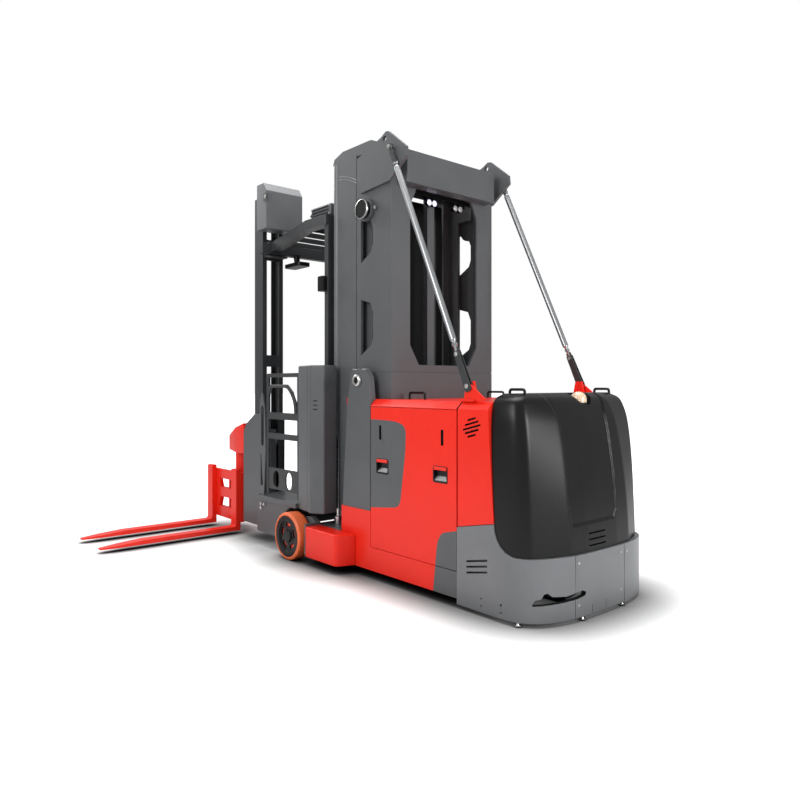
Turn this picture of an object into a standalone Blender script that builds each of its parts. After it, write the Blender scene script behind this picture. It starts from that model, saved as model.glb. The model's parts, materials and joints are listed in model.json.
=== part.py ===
# Man-up turret truck: chassis on two load wheels and a steered drive wheel, a two-stage mast with
# rear stays, a rising cab, and a traversing auxiliary mast that carries a rotating fork head.
# Metres. +X is the operator's right, +Y points to the load, +Z is up. Sizes are measured from the
# load wheels' axle at floor level, and one empty moves the whole truck to its middle.
import math

import bmesh
import bpy
from mathutils import Matrix, Vector

# Gaps
seat_gap = 0.0003
run_gap = 0.006
panel_gap = 0.003

# Chassis
chassis_half = 0.606
chassis_front = -0.49
chassis_bottom = 0.06
side_top = 1.20
deck_top = 1.245
deck_chamfer = 0.046
deck_thick = 0.055
wall = 0.02
battery_front = -0.831
battery_rear = -1.67
battery_sill = 0.22
door_thick = 0.03
door_lip = 0.02
handle_ys = (-0.9615, -1.5275)
handle_z = 0.791
handle_half = 0.060
handle_tall = 0.047
slot_ys = (-0.939, -1.544)
slot_z = 1.02
mast_bay_floor = 0.30

# Bumper and hood
bumper_thick = 0.03
bumper_bottom = 0.027
bumper_rise = 0.49
bumper_peak_y = -1.964
bumper_peak = 0.55
bumper_low = 0.38
bumper_sweep = 0.15
truck_rear = -2.303
corner_fullness = 3.0
foot_bottom = 0.008
foot_spots = ((0.575, -2.115), (0.205, -2.280))
vent_front = -1.75
vent_rear = -1.915
vent_rise = 0.034
vent_tall = 0.012
vent_rows = (0.227, 0.261, 0.294)
hood_front_top = -1.915
hood_top = 1.295
hood_wall = 0.018
shield_depth = 0.009
beacon_spot = (0.047, -2.078)
beacon_floor = 1.224
beacon_pocket = 0.078
beacon_radius = 0.046

# Wheels
load_wheel_radius = 0.1815
load_wheel_outer = chassis_half + 0.166
load_wheel_width = 0.112
drive_wheel_radius = 0.20
drive_wheel_width = 0.11
drive_y = -1.93
load_axle_radius = 0.028
drive_axle_radius = 0.03
steer_neck_radius = 0.054
mount_low = 0.50
mount_high = 0.535
leg_outer = chassis_half + 0.144
leg_front = -0.21
leg_rear = -0.60
leg_bottom = 0.06
leg_top = 0.285
arm_inner = chassis_half - 0.006
arm_outer = chassis_half + 0.039
frame_low = 0.07
frame_top = 0.28

# Outer mast
mast_half = chassis_half - 0.094
mast_rear = -0.946
mast_front = -0.55
mast_top = 2.967
mast_web = 0.022
mast_lip = 0.035
mast_rear_lip = -0.81
mast_sheet = 0.02
beam_half = mast_half - 0.066
beam_rear = -1.038
beam_bottom = 2.736
window_bottom = 1.486
window_top = 2.755
window_corner = 0.14
window_half = 0.34
window_half_top = 0.27
window_half_bottom = 0.257
ear_thick = 0.02
bracket_thick = 0.05
bracket_bottom = 0.47
bracket_top = 1.453
stay_radius = 0.0195
stay_eye = 0.03
stay_top = (mast_half + 0.044, -0.988, 2.963)
stay_foot = (chassis_half - 0.035, -1.733, 1.337)
eye_spot = (-0.895, 3.049)
eye_radius = 0.019
drum_spot = (-0.684, 2.595)
boss_spot = (-0.69, 1.375)
light_y = -0.852
light_z = 2.690
light_xs = (-0.078, -0.026, 0.195, 0.247)
light_radius = 0.0245

# Inner mast and lift cylinders
inner_web_outer = mast_half - 0.062
inner_web = 0.02
inner_box_outer = mast_half - 0.007
inner_rear = -0.80
inner_front = -0.31
inner_lip = 0.06
inner_lip_thick = 0.012
inner_bottom = 0.35
inner_top = 3.02
head_height = 0.08
notch_front = -0.655
notch_low = 1.50
notch_high = 2.65
cylinder_x = mast_half - 0.037
cylinder_y = -0.27
barrel_radius = 0.035
barrel_bottom = 0.95
lift_rod_radius = 0.017
lift_rod_top = 2.90

# Cab
floor_bottom = 0.385
floor_thick = 0.04
floor_half = 0.70
floor_front = 0.60
cabinet_front = -0.013
cabinet_inner = 0.54
cabinet_top = 1.49
back_wall_y = -0.16
back_wall_thick = 0.02
back_wall_top = 1.40
post_outer = 0.53
post_width = 0.07
post_depth = 0.05
guard_low = 2.463
guard_high = 2.579
guard_front_y = 0.66
guard_rise_y = 0.08
guard_beam = 0.075
skirt_bottom = 0.12
carriage_plate = 0.33
carriage_plate_thick = 0.03
carriage_bottom = 0.45
carriage_top = 1.40
gate_x = 0.655
gate_length = 0.47
gate_tube = 0.016
grab_tube = 0.012
grab_loop = ((0.465, 1.27), (0.425, 1.333), (0.174, 1.333), (0.10, 1.279), (0.048, 1.193), (0.048, 1.09))

# Auxiliary mast, nose and fork head
rail_depth = 0.06
rail_height = 0.09
rail_low_z = 0.15
rail_high_z = 2.46
rail_half = 0.64
aux_x = -0.48
aux_half = 0.10
aux_rear = 0.70
aux_depth = 0.14
aux_bottom = 0.15
aux_top = 2.96
aux_wall = 0.012
nose_half = 0.125
nose_wall = 0.012
nose_front = 1.0
nose_bottom = 0.13
nose_top = 1.09
tip_bottom = 0.73
tip_top = 1.0
tip_front = 1.50
pivot_x = -0.40
pivot_y = 1.38
pivot_radius = 0.075
head_top = 0.58
fork_gap = 0.48
fork_width = 0.10
fork_thick = 0.045
fork_bottom = 0.03
fork_blade = 0.037
fork_tip = 0.012
fork_face = -0.63
fork_end = -1.80
plate_thick = 0.04
plate_overhang = 0.05

# Worked out: where the rear corners start, and the move that puts the middle of the truck's
# outer box over the origin.
shoulder_y = bumper_peak_y - panel_gap
gate_hinge_y = cabinet_front + gate_tube + seat_gap
front_reach = pivot_y + fork_gap / 2 + plate_overhang
truck_shift = (-(fork_end + load_wheel_outer) / 2, -(truck_rear + front_reach) / 2, 0)

for old in list(bpy.data.objects):
    bpy.data.objects.remove(old)

# name: colour, roughness, metallic
paints = {
    "red_paint": ((0.86, 0.06, 0.03, 1), 0.35, 0.0),
    "grey_paint": ((0.085, 0.09, 0.095, 1), 0.45, 0.0),
    "bumper_grey": ((0.14, 0.145, 0.15, 1), 0.5, 0.0),
    "black_plastic": ((0.02, 0.02, 0.02, 1), 0.45, 0.0),
    "steel": ((0.6, 0.6, 0.6, 1), 0.3, 1.0),
    "orange_tyre": ((0.8, 0.16, 0.05, 1), 0.55, 0.0),
    "amber": ((0.9, 0.35, 0.05, 1), 0.2, 0.0),
}


def make_material(name):
    colour, roughness, metallic = paints[name]
    material = bpy.data.materials.new(name)
    material.use_nodes = True
    shader = material.node_tree.nodes["Principled BSDF"]
    shader.inputs["Base Color"].default_value = colour
    shader.inputs["Roughness"].default_value = roughness
    shader.inputs["Metallic"].default_value = metallic
    material.diffuse_color = colour
    return material


# body: parent body, joint point
joint_points = {
    "chassis": (None, (0, 0, 0)),
    "door_left": ("chassis", (-chassis_half, battery_front - panel_gap, battery_sill)),
    "door_right": ("chassis", (chassis_half, battery_front - panel_gap, battery_sill)),
    "hood": ("chassis", (0, hood_front_top, hood_top)),
    "load_wheel_left": ("chassis", (-load_wheel_outer, 0, load_wheel_radius)),
    "load_wheel_right": ("chassis", (load_wheel_outer, 0, load_wheel_radius)),
    "steering": ("chassis", (0, drive_y, drive_wheel_radius)),
    "drive_wheel": ("steering", (0, drive_y, drive_wheel_radius)),
    "inner_mast": ("chassis", (0, inner_front, inner_bottom)),
    "cab": ("inner_mast", (0, back_wall_y, floor_bottom)),
    "gate_left": ("cab", (-gate_x, gate_hinge_y, floor_bottom)),
    "gate_right": ("cab", (gate_x, gate_hinge_y, floor_bottom)),
    "aux_mast": ("cab", (aux_x, aux_rear, aux_bottom)),
    "nose": ("aux_mast", (aux_x, aux_rear, nose_bottom)),
    "fork_head": ("nose", (pivot_x, pivot_y, fork_bottom)),
}
body_empties = {}


def make_bodies():
    root = bpy.data.objects.new("truck_middle", None)
    root.location = truck_shift
    bpy.context.scene.collection.objects.link(root)
    for name, (parent, point) in joint_points.items():
        empty = bpy.data.objects.new(name + "_joint", None)
        bpy.context.scene.collection.objects.link(empty)
        empty.parent = body_empties[parent] if parent else root
        start = Vector(joint_points[parent][1]) if parent else Vector((0, 0, 0))
        empty.location = Vector(point) - start
        body_empties[name] = empty


def shape(bm):
    bmesh.ops.recalc_face_normals(bm, faces=bm.faces[:])
    mesh = bpy.data.meshes.new("shape")
    bm.to_mesh(mesh)
    bm.free()
    made = bpy.data.objects.new("shape", mesh)
    bpy.context.scene.collection.objects.link(made)
    return made


def place(name, made, paint, body="chassis"):
    """Turn one finished shape into the named sub-part of a body."""
    point = Vector(joint_points[body][1])
    made.data.transform(Matrix.Translation(-point))
    made.name = name
    made.data.name = name
    made.parent = body_empties[body]
    made.data.materials.clear()
    made.data.materials.append(bpy.data.materials.get(paint) or make_material(paint))
    made.data.shade_smooth()
    made.data.set_sharp_from_angle(angle=math.radians(32))
    return made


def bake(made):
    bpy.context.view_layer.update()
    graph = bpy.context.evaluated_depsgraph_get()
    mesh = bpy.data.meshes.new_from_object(made.evaluated_get(graph))
    made.modifiers.clear()
    made.data = mesh
    return made


def combine(base, others, operation):
    for other in others:
        step = base.modifiers.new(operation, "BOOLEAN")
        step.operation = operation
        step.solver = "EXACT"
        step.object = other
    bake(base)
    for other in others:
        bpy.data.objects.remove(other)
    return base


def fuse(*shapes):
    return combine(shapes[0], shapes[1:], "UNION")


def carve(base, *cutters):
    return combine(base, cutters, "DIFFERENCE")


def prism(outline, axis, low, high):
    """Extrude an outline; its pairs are the two other coordinates in X, Y, Z order."""
    low, high = min(low, high), max(low, high)
    order = {"x": (2, 0, 1), "y": (0, 2, 1), "z": (0, 1, 2)}[axis]
    bm = bmesh.new()
    corners = []
    for u, v in outline:
        spot = (u, v, low)
        corners.append(bm.verts.new([spot[k] for k in order]))
    face = bm.faces.new(corners)
    grown = bmesh.ops.extrude_face_region(bm, geom=[face])
    step = [0, 0, 0]
    step["xyz".index(axis)] = high - low
    tops = [item for item in grown["geom"] if isinstance(item, bmesh.types.BMVert)]
    bmesh.ops.translate(bm, verts=tops, vec=step)
    return shape(bm)


def block(x, y, z, bevel=0.0, segments=2):
    bm = bmesh.new()
    spans = [sorted(x), sorted(y), sorted(z)]
    middle = Vector([(low + high) / 2 for low, high in spans])
    size = Matrix.Diagonal([high - low for low, high in spans] + [1])
    bmesh.ops.create_cube(bm, size=1, matrix=Matrix.Translation(middle) @ size)
    if bevel:
        bmesh.ops.bevel(bm, geom=bm.edges[:], offset=bevel, segments=segments, profile=0.5,
                        affect="EDGES", clamp_overlap=True)
    return shape(bm)


def rod(start, end, radius, sides=20, end_radius=None):
    start, end = Vector(start), Vector(end)
    along = end - start
    bm = bmesh.new()
    turn = along.to_track_quat("Z", "Y").to_matrix().to_4x4()
    bmesh.ops.create_cone(bm, cap_ends=True, segments=sides, radius1=radius,
                          radius2=radius if end_radius is None else end_radius,
                          depth=along.length, matrix=Matrix.Translation((start + end) / 2) @ turn)
    return shape(bm)


def turned(profile, centre, axis, steps=32):
    """Spin a closed profile of (along the axis, radius) pairs about X or Z."""
    bm = bmesh.new()
    spots = []
    for along, radius in profile:
        offset = (along, 0, radius) if axis == "x" else (radius, 0, along)
        spots.append(bm.verts.new(Vector(centre) + Vector(offset)))
    edges = [bm.edges.new((spots[i], spots[(i + 1) % len(spots)])) for i in range(len(spots))]
    direction = (1, 0, 0) if axis == "x" else (0, 0, 1)
    bmesh.ops.spin(bm, geom=spots + edges, cent=centre, axis=direction, angle=2 * math.pi,
                   steps=steps, use_merge=True)
    return shape(bm)


def loft(rings):
    bm = bmesh.new()
    loops = [[bm.verts.new(spot) for spot in ring] for ring in rings]
    count = len(rings[0])
    for low, high in zip(loops, loops[1:]):
        for i in range(count):
            j = (i + 1) % count
            bm.faces.new((low[i], low[j], high[j], high[i]))
    bm.faces.new(loops[0])
    bm.faces.new(loops[-1])
    return shape(bm)


def side_name(side):
    return "left" if side < 0 else "right"


def rear_outline(half, front, rear, fullness, steps=26):
    """Plan of a rear end: straight sides from the front to the shoulder, then half a superellipse."""
    spots = [(half, front)]
    for i in range(steps + 1):
        angle = math.pi * i / steps
        across = abs(math.cos(angle)) ** (2 / fullness) * (1 if math.cos(angle) > 0 else -1)
        back = abs(math.sin(angle)) ** (2 / fullness)
        spots.append((half * across, shoulder_y + (rear - shoulder_y) * back))
    return spots + [(-half, front)]


def slot_outline(centre_u, centre_v, half_length, radius, steps=5):
    """Round-ended slot that lies along v."""
    spots = []
    for end in (1, -1):
        for i in range(steps + 1):
            angle = math.pi * i / steps + (0 if end > 0 else math.pi)
            spots.append((centre_u + radius * math.cos(angle),
                          centre_v + end * (half_length - radius) + radius * math.sin(angle)))
    return spots


# Side view line between the bumper and the hood: y, z. It rises to a peak, then falls in an arc
def bumper_line(lift=0.0, steps=6):
    line = [(battery_rear, bumper_rise + lift), (bumper_peak_y, bumper_peak + lift)]
    for i in range(1, steps + 1):
        angle = math.pi / 2 * i / steps
        line.append((bumper_peak_y - bumper_sweep * (1 - math.cos(angle)),
                     bumper_low + (bumper_peak - bumper_low) * (1 - math.sin(angle)) + lift))
    return line + [(truck_rear - 0.1, bumper_low + lift)]


def chassis_body():
    half = chassis_half
    profile = [(-half, chassis_bottom), (-half, side_top), (-half + deck_chamfer, deck_top),
               (half - deck_chamfer, deck_top), (half, side_top), (half, chassis_bottom)]
    body = prism(profile, "y", bumper_peak_y, chassis_front)
    hood_edge = hood_front_top + seat_gap
    rear_slant = [(hood_edge, 1.4), (hood_edge, deck_top), (bumper_peak_y + seat_gap, bumper_peak),
                  (bumper_peak_y + seat_gap, 0), (-2.1, 0), (-2.1, 1.4)]
    battery_bay = block((-1, 1), (battery_front - door_lip, battery_rear + door_lip),
                        (battery_sill + 0.015, deck_top - deck_thick))
    mast_bay = block((-mast_half - run_gap / 2, mast_half + run_gap / 2),
                     (battery_front, 0), (mast_bay_floor, 2))
    drive_bay = block((-half + 0.06, half - 0.06), (battery_rear - wall, -2.2),
                      (-0.1, deck_top - deck_thick))
    cutters = [prism(rear_slant, "x", -1, 1), battery_bay, mast_bay, drive_bay]
    for side in (-1, 1):
        cutters.append(block((side * (half - door_thick - seat_gap), side),
                             (battery_front, battery_rear), (battery_sill, side_top - 0.005)))
        bumper_seat = bumper_line(panel_gap)[:2] + [(-2.1, 0.56), (-2.1, 0), (battery_rear, 0)]
        cutters.append(prism(bumper_seat, "x", side * (half - bumper_thick - seat_gap), side))
        cutters.append(block((side * (half - bracket_thick), side),
                             (battery_front, 0), (bracket_bottom - seat_gap, 2)))
    return carve(body, *cutters)


def battery_door(side):
    half = chassis_half
    door = block((side * (half - door_thick), side * half),
                 (battery_front - panel_gap, battery_rear + panel_gap),
                 (battery_sill + panel_gap, side_top - 0.005 - panel_gap), bevel=0.002, segments=1)
    cutters = []
    for y in handle_ys:
        cutters.append(block((side * (half - 0.024), side), (y - handle_half, y + handle_half),
                             (handle_z - handle_tall, handle_z + handle_tall), bevel=0.006, segments=1))
    for y in slot_ys:
        cutters.append(prism(slot_outline(y, slot_z, 0.045, 0.008), "x", side * (half - 0.012), side))
    return carve(door, *cutters)


def rear_bumper():
    outer = prism(rear_outline(chassis_half, battery_rear - seat_gap, truck_rear, corner_fullness), "z",
                  bumper_bottom, bumper_peak + 0.01)
    inner = prism(rear_outline(chassis_half - bumper_thick, battery_rear + 0.05,
                               truck_rear + bumper_thick, corner_fullness), "z", -0.1, 1)
    above = bumper_line() + [(truck_rear - 0.1, 1), (battery_rear + 0.1, 1),
                             (battery_rear + 0.1, bumper_rise)]
    through = (truck_rear - 0.1, -2.0)
    slot = [(-0.54, 0.123), (-0.54, 0.137), (-0.53, 0.156), (-0.503, 0.161), (-0.488, 0.188),
            (-0.469, 0.193), (-0.443, 0.171), (-0.347, 0.162), (-0.225, 0.178), (-0.193, 0.164),
            (-0.20, 0.145), (-0.26, 0.135)]
    cutters = [inner, prism(above, "x", -1, 1), prism(slot, "y", *through)]
    for side in (-1, 1):
        for z in vent_rows:
            row = [(vent_front, z), (vent_rear, z + vent_rise), (vent_rear, z + vent_rise + vent_tall),
                   (vent_front, z + vent_tall)]
            cutters.append(prism(row, "x", side * (chassis_half - 0.2), side))
    feet = []
    for x, y in foot_spots:
        for side in (-1, 1):
            feet.append(rod((side * x, y, foot_bottom), (side * x, y, foot_bottom + 0.006), 0.021, 12))
            feet.append(rod((side * x, y, foot_bottom), (side * x, y, bumper_bottom + 0.02), 0.010, 8))
    return fuse(carve(outer, *cutters), *feet)


# Hood sections: height, half width, rear y, fullness
hood_sections = [
    (0.30, 0.600, -2.290, 3.0),
    (0.60, 0.600, -2.272, 3.0),
    (0.90, 0.594, -2.232, 3.3),
    (1.12, 0.580, -2.186, 3.7),
    (1.215, 0.562, -2.150, 3.9),
    (1.268, 0.530, -2.115, 4.1),
    (1.295, 0.460, -2.070, 4.1),
]
# Plan corners as shares of the half width: shoulder, side, first crease, second crease, middle
hood_shares = (1.0, 0.975, 0.90, 0.50, 0.25, 0.0)


def hood_outline(half, front, rear, fullness):
    """Plan of the hood: corners on a superellipse, with flat facets between them."""
    right = [(half * share, shoulder_y + (rear - shoulder_y) * (1 - share ** fullness) ** (1 / fullness))
             for share in hood_shares]
    left = [(-x, y) for x, y in reversed(right[:-1])]
    return [(half, front)] + right + left + [(-half, front)]


def hood_loft(inset, extra_low=0.0):
    rings = []
    for height, half, rear, fullness in hood_sections:
        top = height == hood_sections[-1][0]
        z = height - (inset if top else 0) - (extra_low if height == hood_sections[0][0] else 0)
        plan = hood_outline(half - inset, battery_rear, rear + inset, fullness)
        rings.append([(x, y, z) for x, y in plan])
    return loft(rings)


def hood_shield():
    """Cutter for the sunk panel on the hood's rear: its outline, less the hood drawn in by its depth."""
    outline = [(-0.33, 1.5), (-0.319, 1.257), (-0.301, 1.194), (-0.284, 1.114), (-0.286, 0.915),
               (-0.30, 0.691), (-0.278, 0.537), (0.127, 0.543), (0.165, 0.587), (0.177, 0.705),
               (0.186, 0.976), (0.20, 1.176), (0.234, 1.268), (0.25, 1.5)]
    return carve(prism(outline, "y", truck_rear - 0.1, -2.02), hood_loft(shield_depth, 0.2))


def beacon_cup(low, high, radius):
    """Cone that opens upward around the beacon's axis."""
    return rod((*beacon_spot, low), (*beacon_spot, high), radius, 24, radius + 0.5 * (high - low))


def rear_hood():
    front = hood_front_top
    arc = bumper_line(panel_gap)[:1:-1]
    around = [(-1.5, 0.1), (-2.5, 0.1), (-2.5, bumper_low + panel_gap), *arc,
              (bumper_peak_y, bumper_peak + panel_gap), (front, deck_top + 0.01), (front, 1.5),
              (-1.5, 1.5)]
    cup = combine(beacon_cup(beacon_floor - hood_wall, hood_top, beacon_pocket + 0.012),
                  [hood_loft(0.001)], "INTERSECT")
    vents = [block((-0.138, 0.027), (truck_rear - 0.1, -2.2), (z, z + 0.009)) for z in (0.41, 0.445, 0.48)]
    shell = carve(hood_loft(0), hood_loft(hood_wall, 0.2), prism(around, "x", -1, 1))
    return carve(fuse(shell, cup), hood_shield(), beacon_cup(beacon_floor, 1.45, beacon_pocket - 0.012),
                 *vents)


def beacon():
    r = beacon_radius
    profile = [(0, 0), (0, r + 0.006), (0.012, r + 0.006), (0.014, r), (0.045, r - 0.002),
               (0.066, r - 0.014), (0.078, r - 0.030), (0.082, 0)]
    return turned(profile, (*beacon_spot, beacon_floor + seat_gap), "z", 20)


def load_frame():
    parts = [block((-chassis_half, chassis_half), (chassis_front + seat_gap, -0.15),
                   (frame_low, frame_top)),
             block((-arm_outer + 0.01, arm_outer - 0.01), (leg_front + 0.0005, -0.12),
                   (frame_low + 0.005, frame_top - 0.005))]
    for side in (-1, 1):
        arm = []
        for i in range(13):
            angle = math.radians(-90 + 180 * i / 12)
            arm.append((0.12 * math.cos(angle), load_wheel_radius + 0.12 * math.sin(angle)))
        arm += [(-0.10, 0.335), (-0.16, 0.335), (-0.2095, 0.30), (-0.2095, 0.0615)]
        parts.append(prism(arm, "x", side * arm_inner, side * arm_outer))
        parts.append(rod((side * (arm_outer - 0.02), 0, load_wheel_radius),
                         (side * (load_wheel_outer - 0.03), 0, load_wheel_radius), load_axle_radius))
        behind = [(leg_front + seat_gap, 0.07), (leg_front + seat_gap, 0.30), (-0.196, 0.30),
                  (-0.196, 0.07)]
        parts.append(prism(behind, "x", side * (arm_outer - 0.01), side * 0.735))
    return fuse(*parts)


def leg_cover(side):
    plan = [(side * (chassis_half + seat_gap + 0.0003), leg_front),
            (side * (leg_outer - 0.02), leg_front), (side * leg_outer, leg_front - 0.02),
            (side * leg_outer, leg_rear), (side * (leg_outer - 0.03), leg_rear - 0.025),
            (side * (chassis_half + seat_gap + 0.0003), leg_rear - 0.065)]
    cover = prism(plan, "z", leg_bottom, leg_top)
    return cover


def load_wheel(side):
    """Polyurethane ring, with the hub as a separate sub-part inside it."""
    outer, inner = load_wheel_outer, load_wheel_outer - load_wheel_width
    r = load_wheel_radius
    profile = [(0, 0.135), (0, r - 0.012), (-0.01, r), (-load_wheel_width + 0.01, r),
               (-load_wheel_width, r - 0.012), (-load_wheel_width, 0.135)]
    return turned([(side * a, b) for a, b in profile], (side * outer, 0, r), "x", 48)


def load_hub(side):
    r = load_wheel_radius
    bore = load_axle_radius + seat_gap
    rim = 0.135 - seat_gap
    profile = [(-0.004, rim), (-0.004, 0.118), (-0.016, 0.112), (-0.016, 0.05), (-0.002, 0.045),
               (-0.002, bore), (-0.10, bore), (-0.10, rim)]
    hub = turned([(side * a, b) for a, b in profile], (side * load_wheel_outer, 0, r), "x", 40)
    cutters = []
    for i in range(5):
        angle = math.radians(72 * i + 18)
        slot = prism(slot_outline(0.085, 0, 0.034, 0.013), "x", side * 0.73, side * 0.78)
        slot.data.transform(Matrix.Rotation(angle, 4, "X"))
        slot.data.transform(Matrix.Translation((0, 0, r)))
        cutters.append(slot)
    return carve(hub, *cutters)


def drive_mount():
    floor = block((-0.49, 0.49), (battery_rear - wall - seat_gap, -2.10), (mount_low, mount_high))
    hole = rod((0, drive_y, 0.4), (0, drive_y, 0.6), steer_neck_radius + 2 * seat_gap, 48)
    return carve(floor, hole)


def drive_motor():
    motor = rod((0, drive_y, mount_high + seat_gap), (0, drive_y, 0.95), 0.15, 28)
    cap = rod((0, drive_y, 0.94), (0, drive_y, 1.02), 0.12, 28)
    return fuse(motor, cap)


def steer_yoke():
    plate = rod((0, drive_y, 0.43), (0, drive_y, 0.49), 0.15, 28)
    neck = rod((0, drive_y, 0.48), (0, drive_y, 0.53), steer_neck_radius, 48)
    leg = block((0.066, 0.10), (drive_y - 0.07, drive_y + 0.07), (0.12, 0.44), bevel=0.01, segments=1)
    axle = rod((0.07, drive_y, drive_wheel_radius), (-0.05, drive_y, drive_wheel_radius), drive_axle_radius)
    return fuse(plate, neck, leg, axle)


def drive_wheel():
    half = drive_wheel_width / 2
    bore = drive_axle_radius + seat_gap
    r = drive_wheel_radius
    profile = [(-half, bore), (-half, r - 0.012), (-half + 0.01, r), (half - 0.01, r),
               (half, r - 0.012), (half, bore)]
    return turned(profile, (0, drive_y, r), "x", 40)


def mast_bracket(side):
    face = chassis_half - bracket_thick + seat_gap
    outline = [(battery_front + panel_gap, bracket_bottom), (-0.504, bracket_bottom),
               (-0.56, 1.20), (-0.60, 1.40), (-0.63, bracket_top), (-0.77, bracket_top),
               (-0.81, 1.40), (battery_front + panel_gap, 1.25)]
    plate = prism(outline, "x", side * face, side * chassis_half)
    boss = rod((side * (mast_half + seat_gap), *boss_spot), (side * (chassis_half + 0.016), *boss_spot),
               0.042, 24)
    return fuse(plate, boss)


def outer_mast():
    web = mast_half - mast_web
    lip_in = web - mast_lip
    rear_lip = mast_rear_lip
    foot = battery_front + 0.002
    parts = []
    eyes = []
    for side in (-1, 1):
        channel = [(mast_half, foot), (mast_half, mast_front), (lip_in, mast_front),
                   (lip_in, mast_front - 0.012), (web, mast_front - 0.012), (web, rear_lip + 0.012),
                   (lip_in, rear_lip + 0.012), (lip_in, rear_lip), (web, rear_lip), (web, foot)]
        parts.append(prism([(side * x, y) for x, y in channel], "z", mast_bay_floor + 0.001, mast_top))
        parts.append(block((side * web, side * mast_half), (mast_rear + 0.005, foot + 0.01),
                           (deck_top + seat_gap, mast_top)))
        ear = [(-0.575, 2.982), (-0.853, 3.067), (-0.905, 3.095), (-0.935, 3.092), (-1.118, 2.945),
               (-1.125, 2.881), (-0.947, 2.749), (-0.618, 2.726)]
        parts.append(prism(ear, "x", side * (mast_half - 0.004), side * (mast_half + ear_thick)))
        eyes.append(rod((side * (mast_half - 0.1), *eye_spot), (side * (mast_half + 0.1), *eye_spot),
                        eye_radius, 16))
        parts.append(rod((side * (mast_half - 0.005), *drum_spot), (side * (mast_half + 0.03), *drum_spot),
                         0.082, 28))
    sheet = prism([(-mast_half, deck_top + seat_gap), (mast_half, deck_top + seat_gap),
                   (mast_half, mast_top), (-mast_half, mast_top)], "y", mast_rear,
                  mast_rear + mast_sheet)
    beam = block((-beam_half, beam_half), (beam_rear, mast_rear + mast_sheet - 0.002),
                 (beam_bottom, mast_top), bevel=0.012, segments=2)
    tie = block((-mast_half + 0.005, mast_half - 0.005), (foot + 0.003, -0.60),
                (mast_bay_floor + 0.001, mast_bay_floor + 0.03))
    right = [(window_half_bottom, window_bottom), (window_half, window_bottom + window_corner),
             (window_half, window_top - window_corner), (window_half_top, window_top)]
    window = right + [(-x, z) for x, z in reversed(right)]
    cutters = [prism(window, "y", mast_rear - 0.02, mast_rear + 0.05)]
    for low, high in ((1.556, 1.96), (2.225, 2.56)):
        hole = [(-0.60, low), (-0.72, low + 0.07), (-0.74, low + 0.12), (-0.74, high - 0.10),
                (-0.71, high - 0.03), (-0.60, high)]
        cutters.append(prism(hole, "x", -mast_half - 0.001, -web + 0.001))
        cutters.append(prism(hole, "x", mast_half + 0.001, web - 0.001))
    sheet = carve(sheet, cutters[0])
    frame = fuse(*parts, sheet, beam, tie)
    return carve(frame, *cutters[1:], *eyes)


def work_lights():
    """Two twin lamps under a bar that stands between the mast's webs."""
    reach = mast_half - mast_web - seat_gap
    bar_low, bar_high = light_z + 0.045, light_z + 0.075
    parts = [block((-reach, reach), (light_y, light_y + 0.03), (bar_low, bar_high))]
    for x in light_xs:
        parts.append(rod((x, light_y - 0.012, light_z), (x, light_y + 0.016, light_z), light_radius, 16))
        parts.append(block((x - 0.008, x + 0.008), (light_y + 0.002, light_y + 0.012),
                           (light_z + 0.01, bar_low + 0.005)))
    for x in (light_xs[0], light_xs[2]):
        parts.append(block((x, x + 2 * light_radius), (light_y - 0.004, light_y + 0.012),
                           (light_z - 0.008, light_z + 0.008)))
    return fuse(*parts)


def mast_stay(side):
    top = Vector((side * stay_top[0], stay_top[1], stay_top[2]))
    foot = Vector((side * stay_foot[0], stay_foot[1], stay_foot[2]))
    along = (top - foot).normalized()
    shaft = rod(foot + along * 0.05, top - along * 0.07, stay_radius, 20)
    upper = rod(top - along * 0.12, top - along * 0.02, 0.013, 14)
    lower = rod(foot, foot + along * 0.12, 0.013, 14)
    ear_face = mast_half + ear_thick + seat_gap
    eye_top = rod((side * ear_face, *stay_top[1:]), top + Vector((side * stay_eye / 2, 0, 0)), 0.034, 20)
    eye_foot = rod(foot - Vector((stay_eye / 2, 0, 0)), foot + Vector((stay_eye / 2, 0, 0)), 0.034, 20)
    return fuse(shaft, upper, lower, eye_top, eye_foot)


def stay_foot_bracket(side):
    x, y, z = stay_foot
    parts = []
    base = block((side * (x - 0.035), side * (x + 0.012)), (y - 0.06, y + 0.06),
                 (deck_top + seat_gap, deck_top + 0.014))
    lug = prism([(y - 0.05, deck_top + 0.005), (y + 0.05, deck_top + 0.005), (y + 0.025, z + 0.03),
                 (y - 0.025, z + 0.03)], "x", side * (x - 0.034), side * (x - stay_eye / 2 - seat_gap))
    parts += [base, lug]
    return fuse(*parts)


def lift_rod(side):
    spot = (side * cylinder_x, cylinder_y)
    low = frame_top + seat_gap
    shaft = rod((*spot, low), (*spot, lift_rod_top), lift_rod_radius, 16)
    foot = rod((*spot, low), (*spot, low + 0.06), lift_rod_radius * 2, 16)
    return fuse(shaft, foot)


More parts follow.
